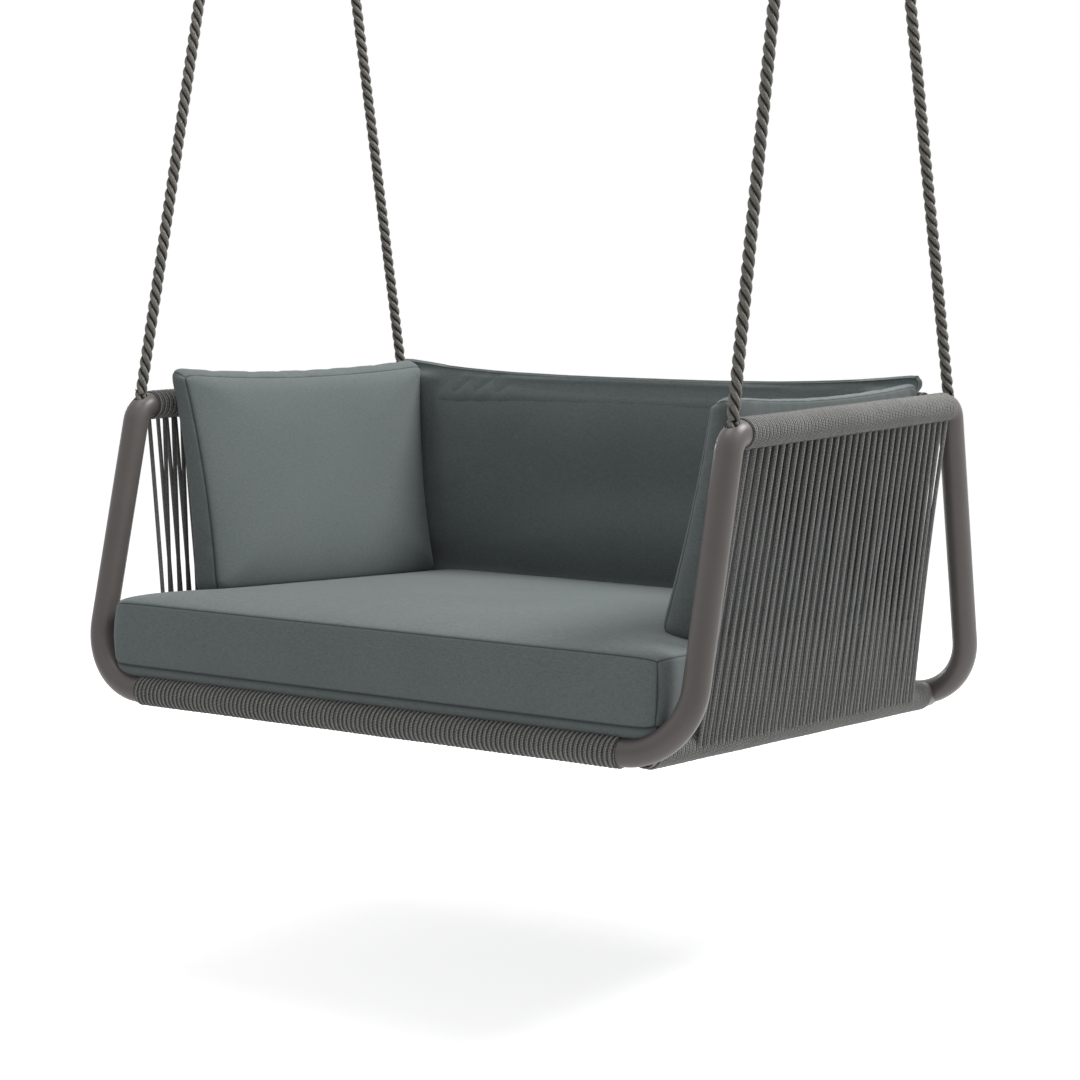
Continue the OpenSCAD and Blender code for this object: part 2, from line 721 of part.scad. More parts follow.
rope(-1, 1);  // rope_rear_left
rope(1, 1);  // rope_rear_right
rope_foot(-1, -1);  // rope_foot_front_left
rope_foot(1, -1);  // rope_foot_front_right
rope_foot(-1, 1);  // rope_foot_rear_left
rope_foot(1, 1);  // rope_foot_rear_right
stopper(-1, -1);  // stopper_front_left
stopper(1, -1);  // stopper_front_right
stopper(-1, 1);  // stopper_rear_left
stopper(1, 1);  // stopper_rear_right
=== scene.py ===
import math

import bpy
import numpy as np
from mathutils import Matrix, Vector


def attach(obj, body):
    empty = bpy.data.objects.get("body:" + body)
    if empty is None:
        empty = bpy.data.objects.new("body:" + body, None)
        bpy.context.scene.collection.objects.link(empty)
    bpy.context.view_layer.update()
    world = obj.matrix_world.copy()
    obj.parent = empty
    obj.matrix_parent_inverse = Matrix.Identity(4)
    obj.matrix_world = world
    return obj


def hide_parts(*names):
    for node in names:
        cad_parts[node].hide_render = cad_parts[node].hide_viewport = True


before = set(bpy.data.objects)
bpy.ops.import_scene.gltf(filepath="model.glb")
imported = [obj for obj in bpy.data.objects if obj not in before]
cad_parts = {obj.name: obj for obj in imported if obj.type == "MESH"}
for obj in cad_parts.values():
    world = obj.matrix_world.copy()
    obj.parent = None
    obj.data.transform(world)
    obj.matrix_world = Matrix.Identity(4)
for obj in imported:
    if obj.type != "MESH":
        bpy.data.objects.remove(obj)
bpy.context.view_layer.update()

MM = 0.001
rng = np.random.default_rng(7)

# ---------------------------------------------------------------- camera

scene = bpy.context.scene
cam_data = bpy.data.cameras.new("camera")
cam_data.lens = 85.54
cam_data.sensor_width = 36.0
cam_data.clip_end = 60.0
camera = bpy.data.objects.new("camera", cam_data)
camera.location = (2.8148, -4.2545, -0.7892)
camera.rotation_euler = (math.radians(90 - 6.8112), 0.0, math.radians(33.5745))
scene.collection.objects.link(camera)
bpy.context.scene.camera = camera

# ---------------------------------------------------------------- sizes of the part, in mm

# Those with two values have one for the front, -1, and one for the rear, 1
HALF_W, ARM_DEPTH, ARM_H = 675.0, 886.0, 540.0
SPLAY = {-1: 142.0, 1: 117.0}
SEAT_DROP, TUBE_R, WRAP_R = 66.0, 25.0, 28.3
ELBOW = {-1: 40.0, 1: 30.0}
SIDE_RAIL_X, CORD_D, CORD_PITCH = 585.0, 8.5, 26.0
HOOK = (653.0, 203.0)
EYE_DROP, PIN_DROP, ROPE_D = 65.0, 60.0, 24.0
ARM_Z = -1130.0
FRONT_Y, FRONT_Z = -(ARM_DEPTH / 2 + SPLAY[-1]), ARM_Z - ARM_H
REAR_Y, REAR_Z = ARM_DEPTH / 2 + SPLAY[1], ARM_Z - ARM_H - SEAT_DROP
RUN = REAR_Y - FRONT_Y
RAKE = math.atan(SEAT_DROP / RUN)
RAIL_LEN = math.hypot(RUN, SEAT_DROP)
BACK_RAIL_Y = ARM_DEPTH / 2 - 43.0
CORD_OFF = WRAP_R + 0.3 + CORD_D / 2
BEND_R = 125.0
BOTTOM_WRAP = HALF_W - BEND_R - 2.0
BACK_WRAP = HALF_W - WRAP_R - 4.0
# Room round the rope's foot in its hole, and how far round the elbow the stopper sits
HOLE_GAP = 0.3
STOP_TURN = math.radians(20)
CORNERS = [("front_left", -1, -1), ("front_right", 1, -1), ("rear_left", -1, 1), ("rear_right", 1, 1)]


def unit(v):
    v = np.asarray(v, float)
    return v / np.linalg.norm(v)


def smooth(x):
    """Eases a share from 0 to 1 in and out."""
    return x * x * (3 - 2 * x)


def post_h(s):
    return ARM_H if s < 0 else ARM_H + SEAT_DROP


def post_lean(s):
    return math.atan(SPLAY[s] / post_h(s))


def elbow_run(s):
    return ELBOW[s] * math.tan((math.pi / 2 - post_lean(s)) / 2)


ARM_START = -ARM_DEPTH / 2 + elbow_run(-1)
ARM_END = ARM_DEPTH / 2 - elbow_run(1)


def rope_points(side, s):
    """Pin, foot and stopper of one rope, and its axes, as part.scad places them."""
    lean = post_lean(s)
    up = np.array([-math.sin(lean), math.cos(lean)])
    inward = np.array([-math.cos(lean), -math.sin(lean)])
    foot = np.array([ARM_DEPTH / 2 + SPLAY[s], ARM_Z - post_h(s)])
    post_len = math.hypot(SPLAY[s], post_h(s))
    mid = foot + up * (post_len - elbow_run(s)) + inward * ELBOW[s]
    stop = mid + ELBOW[s] * (up * math.sin(STOP_TURN) - inward * math.cos(STOP_TURN))
    eye = np.array([HOOK[1], -EYE_DROP])
    way = unit(eye - stop)
    span = np.linalg.norm(eye - stop)
    toe = math.atan((HALF_W - HOOK[0]) / (span - PIN_DROP))
    off = stop - mid
    b = off @ way
    reach = -b + math.sqrt(b * b - off @ off + (ELBOW[s] + TUBE_R + ROPE_D / 2 + HOLE_GAP) ** 2)
    pin2 = eye - way * PIN_DROP
    pin = np.array([side * HOOK[0], s * pin2[0], pin2[1]])
    lean_up = np.array([0.0, s * way[0], way[1]])
    down = -lean_up * math.cos(toe) + np.array([side * math.sin(toe), 0, 0])
    along_pin = np.array([0.0, lean_up[2], -lean_up[1]])
    stop_drop = (span - PIN_DROP) / math.cos(toe)
    foot_drop = stop_drop - reach / math.cos(toe)
    return {"pin": pin, "down": down, "axis": along_pin, "cross": np.cross(along_pin, down),
            "foot": pin + down * foot_drop, "stop": pin + down * stop_drop,
            "foot_drop": foot_drop, "stop_drop": stop_drop}


# ---------------------------------------------------------------- mesh helpers


def new_mesh(name, verts, faces, uvs=None, shade=None):
    """An object from points in mm. uvs has one pair for each point, shade one number from 0, in a
    groove, to 1."""
    mesh = bpy.data.meshes.new(name)
    mesh.from_pydata((np.asarray(verts, float) * MM).tolist(), [], faces)
    mesh.validate()
    if uvs is not None:
        layer = mesh.uv_layers.new(name="UVMap")
        index = np.empty(len(mesh.loops), dtype=np.int64)
        mesh.loops.foreach_get("vertex_index", index)
        layer.data.foreach_set("uv", np.asarray(uvs, float)[index].ravel())
    if shade is not None:
        attr = mesh.attributes.new("shade", "FLOAT", "POINT")
        attr.data.foreach_set("value", np.asarray(shade, np.float32))
    mesh.polygons.foreach_set("use_smooth", np.ones(len(mesh.polygons), dtype=bool))
    mesh.update()
    obj = bpy.data.objects.new(name, mesh)
    scene.collection.objects.link(obj)
    return obj


def grid_faces(rows, cols, base=0, wrap=True):
    """Quads of a grid of points, closed across its columns where wrap is set."""
    r = np.arange(rows - 1)[:, None]
    c = np.arange(cols if wrap else cols - 1)[None, :]
    n = (c + 1) % cols
    a, b = base + r * cols + c, base + r * cols + n
    d, e = base + (r + 1) * cols + c, base + (r + 1) * cols + n
    return np.stack([a, b, e, d], -1).reshape(-1, 4).tolist()


def tangents(pts):
    t = np.gradient(pts, axis=0)
    return t / np.linalg.norm(t, axis=1)[:, None]


def carried(t, u):
    """Two axes across a path with tangents t, carried along it from u without a twist."""
    across = np.empty((len(t), 3))
    for i, way in enumerate(t):
        u = unit(u - way * (u @ way))
        across[i] = u
    return across, np.cross(t, across)


def run_lengths(pts):
    """Length along a path at each of its points."""
    return np.concatenate([[0], np.cumsum(np.linalg.norm(np.diff(pts, axis=0), axis=1))])


# Painted shade between strands: a strand is darkened below the first and plain above the second share of
# the rope's radius
CREST_FROM, CREST_TO = 0.70, 0.96


class Build:
    """Collects tubes into one mesh."""

    def __init__(self):
        self.v, self.f, self.uv, self.shade, self.n = [], [], [], [], 0

    def add(self, verts, faces, uv, shade=None):
        self.v.append(np.asarray(verts, float))
        self.uv.append(np.asarray(uv, float))
        self.shade.append(np.ones(len(verts)) if shade is None else np.asarray(shade, float))
        self.f += faces
        self.n += len(verts)

    def tube(self, pts, radius, sides=10, core=None, core_r=1.0, tone=None):
        """A capped tube along pts. Where core is a path beside pts, the tube's points get painted shade by
        their distance from it, as a share of core_r. tone paints one even shade over the whole tube."""
        pts = np.asarray(pts, float)
        n = len(pts)
        radius = np.broadcast_to(np.asarray(radius, float), (n,))
        t = tangents(pts)
        u, w = carried(t, np.cross(t[0], [0.0, 0.0, 1.0] if abs(t[0][2]) < 0.9 else [1.0, 0.0, 0.0]))
        ang = np.arange(sides) / sides * 2 * math.pi
        ring = u[:, None] * np.cos(ang)[None, :, None] + w[:, None] * np.sin(ang)[None, :, None]
        verts = pts[:, None] + ring * radius[:, None, None]
        around = (ang * radius.mean())[None]
        uv = np.stack(np.broadcast_arrays(run_lengths(pts)[:, None], around), -1)
        base = self.n
        faces = grid_faces(n, sides, base)
        faces.append(list(range(base + sides - 1, base - 1, -1)))
        faces.append(list(range(base + (n - 1) * sides, base + n * sides)))
        shade = None
        if core is not None:
            far = np.linalg.norm(verts - core[:, None], axis=2) / core_r
            shade = np.clip((far - CREST_FROM) / (CREST_TO - CREST_FROM), 0, 1).ravel()
        elif tone is not None:
            shade = np.full(n * sides, tone)
        self.add(verts.reshape(-1, 3), faces, uv.reshape(-1, 2), shade)

    def object(self, name):
        return new_mesh(name, np.vstack(self.v), self.f, np.vstack(self.uv), np.concatenate(self.shade))


def bezier(a, b, c, d, n):
    """n points of the cubic curve with these four control points."""
    t = np.linspace(0, 1, n)[:, None]
    a, b, c, d = (np.asarray(p, float) for p in (a, b, c, d))
    return (1 - t) ** 3 * a + 3 * t * (1 - t) ** 2 * b + 3 * t * t * (1 - t) * c + t ** 3 * d


def resample(pts, step):
    """Points about step apart along the path pts."""
    pts = np.asarray(pts, float)
    s = run_lengths(pts)
    n = max(2, int(round(s[-1] / step)) + 1)
    q = np.linspace(0, s[-1], n)
    return np.stack([np.interp(q, s, pts[:, i]) for i in range(3)], 1)


def strands(build, pts, rope_r, lay, count=3, sides=10, phase=0.0, per_lay=22, ends=None):
    """Lays count strands round the path pts. ends scales the rope's radius along it."""
    path = resample(pts, lay / per_lay)
    n = len(path)
    t = tangents(path)
    u = np.cross(t[0], [0.0, 1.0, 0.0])
    if np.linalg.norm(u) < 0.1:
        u = np.cross(t[0], [1.0, 0.0, 0.0])
    u, w = carried(t, u)
    s = run_lengths(path)
    share = 1 / (1 + 1 / math.sin(math.pi / count))
    size = np.ones(n) if ends is None else np.interp(np.linspace(0, 1, n), *ends)
    strand_r = rope_r * share * 0.99
    off = rope_r * (1 - share)
    for k in range(count):
        a = phase - 2 * math.pi * s / lay + 2 * math.pi * k / count
        centre = path + (u * np.cos(a)[:, None] + w * np.sin(a)[:, None]) * (off * size)[:, None]
        wob = 1 + 0.02 * np.sin(s / 37.0 + k * 2.1 + phase)
        # Each strand gets painted shade where it lies close to the rope's axis
        build.tube(centre, strand_r * size * wob, sides, path, rope_r * size[:, None])


# ---------------------------------------------------------------- materials


def material(name):
    """A new material, its node tree and its Principled shader."""
    m = bpy.data.materials.new(name)
    m.use_nodes = True
    nt = m.node_tree
    nt.nodes.clear()
    out = nt.nodes.new("ShaderNodeOutputMaterial")
    shader = nt.nodes.new("ShaderNodeBsdfPrincipled")
    nt.links.new(shader.outputs[0], out.inputs[0])
    return m, nt, shader


def set_inputs(node, **values):
    """Sets a node's own sockets, whose names have _ for each space here."""
    for key, value in values.items():
        node.inputs[key.replace("_", " ")].default_value = value


def link(nt, a, b):
    nt.links.new(a, b)


def math_node(nt, op, a, b=None, clamp=False):
    n = nt.nodes.new("ShaderNodeMath")
    n.operation = op
    n.use_clamp = clamp
    for i, v in enumerate((a, b)):
        if v is None:
            continue
        if isinstance(v, (int, float)):
            n.inputs[i].default_value = v
        else:
            nt.links.new(v, n.inputs[i])
    return n.outputs[0]


def mapped(nt, scale):
    tc = nt.nodes.new("ShaderNodeTexCoord")
    mp = nt.nodes.new("ShaderNodeMapping")
    set_inputs(mp, Scale=scale)
    link(nt, tc.outputs["Object"], mp.inputs["Vector"])
    return mp.outputs[0]


def noise_tex(nt, scale, detail=3.0, rough=0.55, stretch=(1, 1, 1)):
    """Noise in the object's own coordinates, in metres."""
    n = nt.nodes.new("ShaderNodeTexNoise")
    set_inputs(n, Scale=scale, Detail=detail, Roughness=rough)
    link(nt, mapped(nt, stretch), n.inputs["Vector"])
    return n.outputs["Fac"]


def ramp(nt, fac, stops):
    n = nt.nodes.new("ShaderNodeValToRGB")
    el = n.color_ramp.elements
    while len(el) < len(stops):
        el.new(0.5)
    for e, (pos, col) in zip(el, stops):
        e.position = pos
        e.color = (*col, 1.0)
    link(nt, fac, n.inputs[0])
    return n.outputs[0]


def mix_col(nt, fac, a, b, mode="MIX"):
    n = nt.nodes.new("ShaderNodeMix")
    n.data_type = "RGBA"
    n.blend_type = mode
    for sock, v in ((n.inputs[0], fac), (n.inputs[6], a), (n.inputs[7], b)):
        if isinstance(v, (int, float)):
            sock.default_value = v
        elif isinstance(v, tuple):
            sock.default_value = (*v, 1.0)
        else:
            link(nt, v, sock)
    return n.outputs[2]


def bump(nt, shader, height, strength, distance):
    b = nt.nodes.new("ShaderNodeBump")
    set_inputs(b, Strength=strength, Distance=distance)
    link(nt, height, b.inputs["Height"])
    link(nt, b.outputs[0], shader.inputs["Normal"])


def grey(value):
    return (value, value, value)


def attribute(nt, name):
    n = nt.nodes.new("ShaderNodeAttribute")
    n.attribute_name = name
    return n.outputs["Fac"]


def own_coordinates(nt):
    """The two coordinates of a cord's surface in mm, along it and round it."""
    uv = nt.nodes.new("ShaderNodeUVMap")
    uv.uv_map = "UVMap"
    sep = nt.nodes.new("ShaderNodeSeparateXYZ")
    link(nt, uv.outputs[0], sep.inputs[0])
    return sep.outputs[0], sep.outputs[1]


def in_groove(nt, col, depth):
    """Paints shade into col where the mesh's shade attribute is low."""
    dark = ramp(nt, attribute(nt, "shade"), [(0.05, grey(depth)), (0.75, grey(1.0))])
    return mix_col(nt, 1.0, col, dark, "MULTIPLY")


def paint_material():
    m, nt, sh = material("satin_taupe_paint")
    fine = noise_tex(nt, 900.0, 2.0)
    broad = noise_tex(nt, 7.0, 3.0)
    tone = ramp(nt, broad, [(0.3, (0.112, 0.101, 0.096)), (0.7, (0.130, 0.118, 0.112))])
    link(nt, tone, sh.inputs["Base Color"])
    link(nt, ramp(nt, broad, [(0.3, grey(0.34)), (0.75, grey(0.40))]), sh.inputs["Roughness"])
    set_inputs(sh, Specular_IOR_Level=0.34)
    bump(nt, sh, fine, 0.10, 0.0004)
    return m


def steel_material():
    m, nt, sh = material("brushed_steel")
    set_inputs(sh, Metallic=1.0)
    brushed = noise_tex(nt, 1.0, 4.0, stretch=(260, 260, 900))
    broad = noise_tex(nt, 30.0, 3.0)
    tone = ramp(nt, broad, [(0.3, (0.50, 0.51, 0.52)), (0.7, (0.63, 0.64, 0.65))])
    link(nt, tone, sh.inputs["Base Color"])
    link(nt, ramp(nt, brushed, [(0.3, grey(0.26)), (0.7, grey(0.42))]), sh.inputs["Roughness"])
    bump(nt, sh, brushed, 0.08, 0.0003)
    return m


def braid_material(name, dark, mid, light, pitch_u, pitch_v, strength):
    """A braided cord: crossing diagonal yarns in the cord's own coordinates, in mm."""
    m, nt, sh = material(name)
    along, round_it = own_coordinates(nt)
    u = math_node(nt, "MULTIPLY", along, 2 * math.pi / pitch_u)
    v = math_node(nt, "MULTIPLY", round_it, 2 * math.pi / pitch_v)
    one = math_node(nt, "SINE", math_node(nt, "ADD", u, v))
    two = math_node(nt, "SINE", math_node(nt, "SUBTRACT", u, v))
    crossing = math_node(nt, "MULTIPLY", one, two)
    weave = math_node(nt, "ADD", math_node(nt, "MULTIPLY", crossing, 0.5), 0.5)
    grain = noise_tex(nt, 520.0, 3.0, 0.7)
    broad = noise_tex(nt, 14.0, 2.0)
    height = math_node(nt, "ADD", math_node(nt, "MULTIPLY", weave, 0.6),
                       math_node(nt, "MULTIPLY", grain, 0.7))
    col = ramp(nt, height, [(0.38, dark), (0.62, mid), (0.86, light)])
    tint = ramp(nt, broad, [(0.3, grey(0.90)), (0.7, grey(1.0))])
    col = mix_col(nt, 1.0, col, tint, "MULTIPLY")
    link(nt, in_groove(nt, col, 0.16), sh.inputs["Base Color"])
    set_inputs(sh, Roughness=0.82, Specular_IOR_Level=0.25, Sheen_Weight=0.10, Sheen_Roughness=0.5)
    bump(nt, sh, height, strength, 0.0012)
    return m


def rope_material():
    """Slanting yarns on the strands of a rope."""
    m, nt, sh = material("laid_rope")
    along, round_it = own_coordinates(nt)
    yarn = math_node(nt, "SINE", math_node(nt, "ADD", math_node(nt, "MULTIPLY", along, 2 * math.pi / 9.0),
                                           math_node(nt, "MULTIPLY", round_it, 2 * math.pi / 2.2)))
    grain = noise_tex(nt, 420.0, 4.0, 0.75)
    height = math_node(nt, "ADD", math_node(nt, "MULTIPLY", math_node(nt, "ADD", yarn, 1.0), 0.22),
                       math_node(nt, "MULTIPLY", grain, 0.7))
    col = ramp(nt, height, [(0.30, (0.060, 0.056, 0.049)), (0.52, (0.165, 0.156, 0.138)),
                            (0.78, (0.36, 0.345, 0.31))])
    link(nt, in_groove(nt, col, 0.10), sh.inputs["Base Color"])
    set_inputs(sh, Roughness=0.85, Specular_IOR_Level=0.22, Sheen_Weight=0.12)
    bump(nt, sh, height, 0.55, 0.0014)
    return m


def cloth_material():
    """Plain outdoor canvas: crossing slubby threads, slightly heathered, with painted shade along the
    seams.
    """
    m, nt, sh = material("grey_green_canvas")
    warp = noise_tex(nt, 1.0, 2.0, 0.6, stretch=(900, 900, 110))
    weft = noise_tex(nt, 1.0, 2.0, 0.6, stretch=(110, 110, 900))
    weft2 = noise_tex(nt, 1.0, 2.0, 0.6, stretch=(110, 900, 900))
    broad = noise_tex(nt, 5.0, 3.0, 0.5)
    total = math_node(nt, "ADD", math_node(nt, "ADD", warp, weft), weft2)
    threads = math_node(nt, "MULTIPLY", total, 0.3333)
    base = ramp(nt, threads, [(0.36, (0.118, 0.138, 0.137)), (0.50, (0.152, 0.175, 0.173)),
                              (0.64, (0.190, 0.214, 0.211))])
    tint = ramp(nt, broad, [(0.30, (0.93, 0.94, 0.94)), (0.70, grey(1.0))])
    col = mix_col(nt, 1.0, base, tint, "MULTIPLY")
    # Painted shade: the sunk seams are darkened almost to black
    sewn = math_node(nt, "POWER", attribute(nt, "seam"), 1.8)
    dark = mix_col(nt, math_node(nt, "MULTIPLY", sewn, 0.9, True), col, (0.022, 0.027, 0.027))
    link(nt, dark, sh.inputs["Base Color"])
    set_inputs(sh, Roughness=0.9, Specular_IOR_Level=0.2, Sheen_Weight=0.18, Sheen_Roughness=0.45)
    bump(nt, sh, threads, 0.22, 0.0010)
    return m


PAINT = paint_material()
STEEL = steel_material()
CORD = braid_material("braided_cord", (0.055, 0.055, 0.053), (0.150, 0.149, 0.146), (0.42, 0.42, 0.41),
                      5.0, 5.3, 0.7)
WRAP = braid_material("wound_cord", (0.046, 0.046, 0.043), (0.140, 0.139, 0.132), (0.40, 0.40, 0.385),
                      6.5, 5.0, 0.9)
ROPE = rope_material()
CLOTH = cloth_material()


def dress(obj, mat, body, slot, *nodes):
    """Gives obj its material and its body, and lets it stand in for the named CAD nodes. slot is not used.
    """
    obj.data.materials.clear()
    obj.data.materials.append(mat)
    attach(obj, body)
    if nodes:
        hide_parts(*nodes)
    return obj


# ---------------------------------------------------------------- ropes

# The strands' lay and the radius of the laid rope
LAY, RUN_R = 68.0, 11.6
# Drops from the pin: where the eye's legs cross, and where the splice and the rope's run begin
THROAT, SPLICE_TOP, SPLICE_END, CROTCH = 84.0, 72.0, 136.0, 66.0
EYE_R, SPLICE_R, SPLICE_LAY = 32.0, 17.0, 62.0
WHIP_TURNS, WHIP_PITCH, WHIP_R = 9, 2.75, 1.35
WHIP_DROP = SPLICE_END - 4.0 - 25.5
FOOT_LOW, FOOT_OVERLAP, FIBRES = 11.8, 1.0, 14
KNOT_W, KNOT_H, KNOT_R = 13.6, 12.4, 7.2


def rope_set(corner, side, s):
    """One rope from its eye to its stopper."""
    p = rope_points(side, s)

    def at(drop):
        return p["pin"] + p["down"] * drop

    leads = (side, s) == (-1, -1)
    gap = HOLE_GAP if leads else 0.8
    top = at(CROTCH)
    foot = at(p["foot_drop"] - ROPE_D / 2 - gap)
    b = Build()
    phase = 0.7 * side + s
    strands(b, [foot, top], RUN_R, LAY, 3, 14, phase=phase)
    rope = b.object("rope_run_" + corner)
    dress(rope, ROPE, "rope_" + corner, "rope", "rope_" + corner)

    # The eye round the thimble, its two legs and the spliced throat
    b = Build()
    a0 = math.asin(EYE_R / THROAT)
    ang = np.linspace(-a0, math.pi + a0, 60)
    arc = p["pin"] + np.outer(np.cos(ang) * EYE_R, p["cross"]) - np.outer(np.sin(ang) * EYE_R, p["down"])
    end = at(THROAT * 0.93)
    right = np.linspace(end + p["cross"] * 1.5, arc[0], 14)[:-1]
    left = np.linspace(arc[-1], end - p["cross"] * 1.5, 14)[1:]
    strands(b, np.vstack([right, arc, left]), ROPE_D / 2, LAY * 0.9, 3, 12, phase=0.4)
    strands(b, [at(SPLICE_TOP), at(SPLICE_END)], SPLICE_R, SPLICE_LAY, 6, 10, phase=1.0,
            ends=([0, 0.12, 0.75, 1.0], [0.9, 1.0, 0.97, 0.80]))
    splice = b.object("splice_eye_" + corner)
    dress(splice, ROPE, "rope_" + corner, "rope", "splice_" + corner)

    # Whipping: turns of thin cord, tight on the splice
    b = Build()
    t = np.linspace(0, WHIP_TURNS, WHIP_TURNS * 30 + 1)
    ring_r = SPLICE_R + 1.2
    turn = 2 * math.pi * t
    pts = (p["pin"] + np.outer(WHIP_DROP + t * WHIP_PITCH, p["down"])
           + np.outer(np.cos(turn) * ring_r, p["cross"]) + np.outer(np.sin(turn) * ring_r, p["axis"]))
    b.tube(pts, WHIP_R, 8)
    whip = b.object("whipping_cord_" + corner)
    dress(whip, CORD, "rope_" + corner, "wicker_cord", "whipping_" + corner)

    # The rope's foot where it enters the corner's hole, with a few frayed fibres
    b = Build()
    c = at(p["foot_drop"])
    high = ROPE_D / 2 + gap + FOOT_OVERLAP
    strands(b, [c + p["down"] * FOOT_LOW, c - p["down"] * high], RUN_R - 0.05, LAY, 3, 14,
            phase=phase + 2 * math.pi * (FOOT_LOW + ROPE_D / 2 + gap) / LAY)
    for _ in range(FIBRES):
        a = rng.uniform(0, 2 * math.pi)
        d = np.cos(a) * p["cross"] + np.sin(a) * p["axis"]
        h = rng.uniform(2, 10)
        root = c + p["down"] * h + d * 9.5
        tip = root + d * rng.uniform(2.0, 4.0) + p["down"] * rng.uniform(-4, 3) + rng.normal(0, 0.8, 3)
        b.tube(bezier(root, root + d * 2.5, tip - d, tip, 6), np.linspace(0.5, 0.2, 6), 5)
    strands_foot = b.object("rope_foot_strands_" + corner)
    dress(strands_foot, ROPE, "foot_front_left" if leads else "bed", "rope", "rope_foot_" + corner)

    # The tail inside the tube: rope stem and its knotted stopper
    b = Build()
    stop = p["stop"]
    strands(b, [at(p["foot_drop"] + ROPE_D / 2 + HOLE_GAP), stop], ROPE_D / 2 - 0.4, LAY, 3, 10)
    q = np.linspace(0, 2 * math.pi, 40)
    for tilt in (0.0, 1.05, 2.1):
        e1 = np.cos(tilt) * p["cross"] + np.sin(tilt) * p["axis"]
        ring = stop + np.outer(np.cos(q) * KNOT_W, e1) + np.outer(np.sin(q) * KNOT_H, p["down"])
        b.tube(ring, KNOT_R, 10)
    tail = b.object("rope_stopper_knot_" + corner)
    dress(tail, ROPE, "bed", "rope", "stopper_" + corner)


for corner, side, s in CORNERS:
    rope_set(corner, side, s)

# ---------------------------------------------------------------- wound rails


# Shares of the pitch at which a turn of cord has its rows
RIB = [0.0, 0.07, 0.19, 0.34, 0.5, 0.66, 0.81, 0.93]
GROOVE_R, CREST_R, CLOSED_R = TUBE_R + 0.3, WRAP_R + 0.5, TUBE_R + 0.05
AROUND = 40


def winding(name, a, b, pitch):
    """A cord wound round a rail from a to b, as one ribbed sleeve whose rows follow the cord."""
    a, b = np.asarray(a, float), np.asarray(b, float)
    length = np.linalg.norm(b - a)
    axis = (b - a) / length
    side = unit(np.cross(axis, [0.0, 0.0, 1.0]))
    up = np.cross(side, axis)
    turns = int(length / pitch) + 2
    ph = np.tile(RIB, turns)
    start = np.repeat(np.arange(turns) - 1.0, len(RIB)) + ph
    th = np.linspace(0, 2 * math.pi, AROUND + 1)
    s = start[:, None] * pitch + pitch * th[None] / (2 * math.pi)
    rib = np.sin(math.pi * ph)[:, None] ** 0.62
    wob = 0.22 * np.sin(s / 41.0) + 0.16 * np.sin(start[:, None] * 2.4 + 2 * th[None])
    r = GROOVE_R + (CREST_R - GROOVE_R + wob) * rib
    # The winding closes down to the tube at its ends
    close = np.clip(np.minimum(s, length - s) / 1.6, 0, 1)
    r = CLOSED_R + (r - CLOSED_R) * np.sqrt(close)
    s = np.clip(s, 0, length)
    turn = (th - math.pi / 2)[None, :, None]
    pts = a + s[..., None] * axis + (np.cos(turn) * side + np.sin(turn) * up) * r[..., None]
    uv = np.stack(np.broadcast_arrays(ph[:, None] * 8.0, th[None] * TUBE_R), -1)
    # Painted shade: darker in the grooves between turns and towards the ends where the winding closes
    shade = (0.10 + 0.9 * np.sin(math.pi * ph)[:, None] ** 0.8) * (0.25 + 0.75 * close)
    return new_mesh(name, pts.reshape(-1, 3), grid_faces(len(ph), AROUND + 1, wrap=False),
                    uv.reshape(-1, 2), shade.ravel())


def seat_point(x, run, h):
    """A point on the raked seat plane: run along it from the front rail, h above it."""
    return np.array([x, FRONT_Y + run * math.cos(RAKE) + h * math.sin(RAKE),
                     FRONT_Z - run * math.sin(RAKE) + h * math.cos(RAKE)])


# Pitch of the cord on the cross rails, and on the arms and side rails
CROSS_TURN, ARM_TURN = 10.0, 13.0
SIDE_FROM, SIDE_TO = 22.0, RAIL_LEN - 46.0
RAILS = [("front_rail_wrap", (-BOTTOM_WRAP, FRONT_Y, FRONT_Z), (BOTTOM_WRAP, FRONT_Y, FRONT_Z), CROSS_TURN),
         ("rear_rail_wrap", (-BOTTOM_WRAP, REAR_Y, REAR_Z), (BOTTOM_WRAP, REAR_Y, REAR_Z), CROSS_TURN),
         ("back_rail_wrap", (-BACK_WRAP, BACK_RAIL_Y, ARM_Z), (BACK_WRAP, BACK_RAIL_Y, ARM_Z), CROSS_TURN)]
SIDES = [("left", -1), ("right", 1)]
RAILS += [("arm_wrap_" + name, (side * HALF_W, ARM_START + 2, ARM_Z),
           (side * HALF_W, ARM_END - 2, ARM_Z), ARM_TURN) for name, side in SIDES]
RAILS += [("side_wrap_" + name, seat_point(side * SIDE_RAIL_X, SIDE_FROM, 0),
           seat_point(side * SIDE_RAIL_X, SIDE_TO, 0), ARM_TURN) for name, side in SIDES]

for name, a, b, pitch in RAILS:
    dress(winding("wound_" + name, a, b, pitch), WRAP, "bed", "wicker_cord", name)

# ---------------------------------------------------------------- cord panels


def dive(centre, start, way, turn, n=6):
    """Points past a tangent point: round the rail's axis by turn radians, sinking into its winding.
    centre and start are points across the rail, and way is +1 or -1 for the sense of the turn."""
    off = np.array(start) - np.array(centre)
    r0, a0 = np.linalg.norm(off), math.atan2(off[1], off[0])
    out = []
    for i in range(1, n + 1):
        f = i / n
        r = r0 + (TUBE_R + 1.0 - r0) * f ** 1.5
        a = a0 + way * turn * f
        out.append([centre[0] + r * math.cos(a), centre[1] + r * math.sin(a)])
    return out


def side_rail_z(y):
    return FRONT_Z - (y - FRONT_Y) * math.tan(RAKE)


# The side panels' cords: where they start on the arm, how far the outer and inner ones part there,
# and how many rows follow the last whole pitch, of which the last has an outer cord only
PANEL_START, TOP_SPREAD, ROWS_MORE = ARM_START + 7.0, 9.0, 3
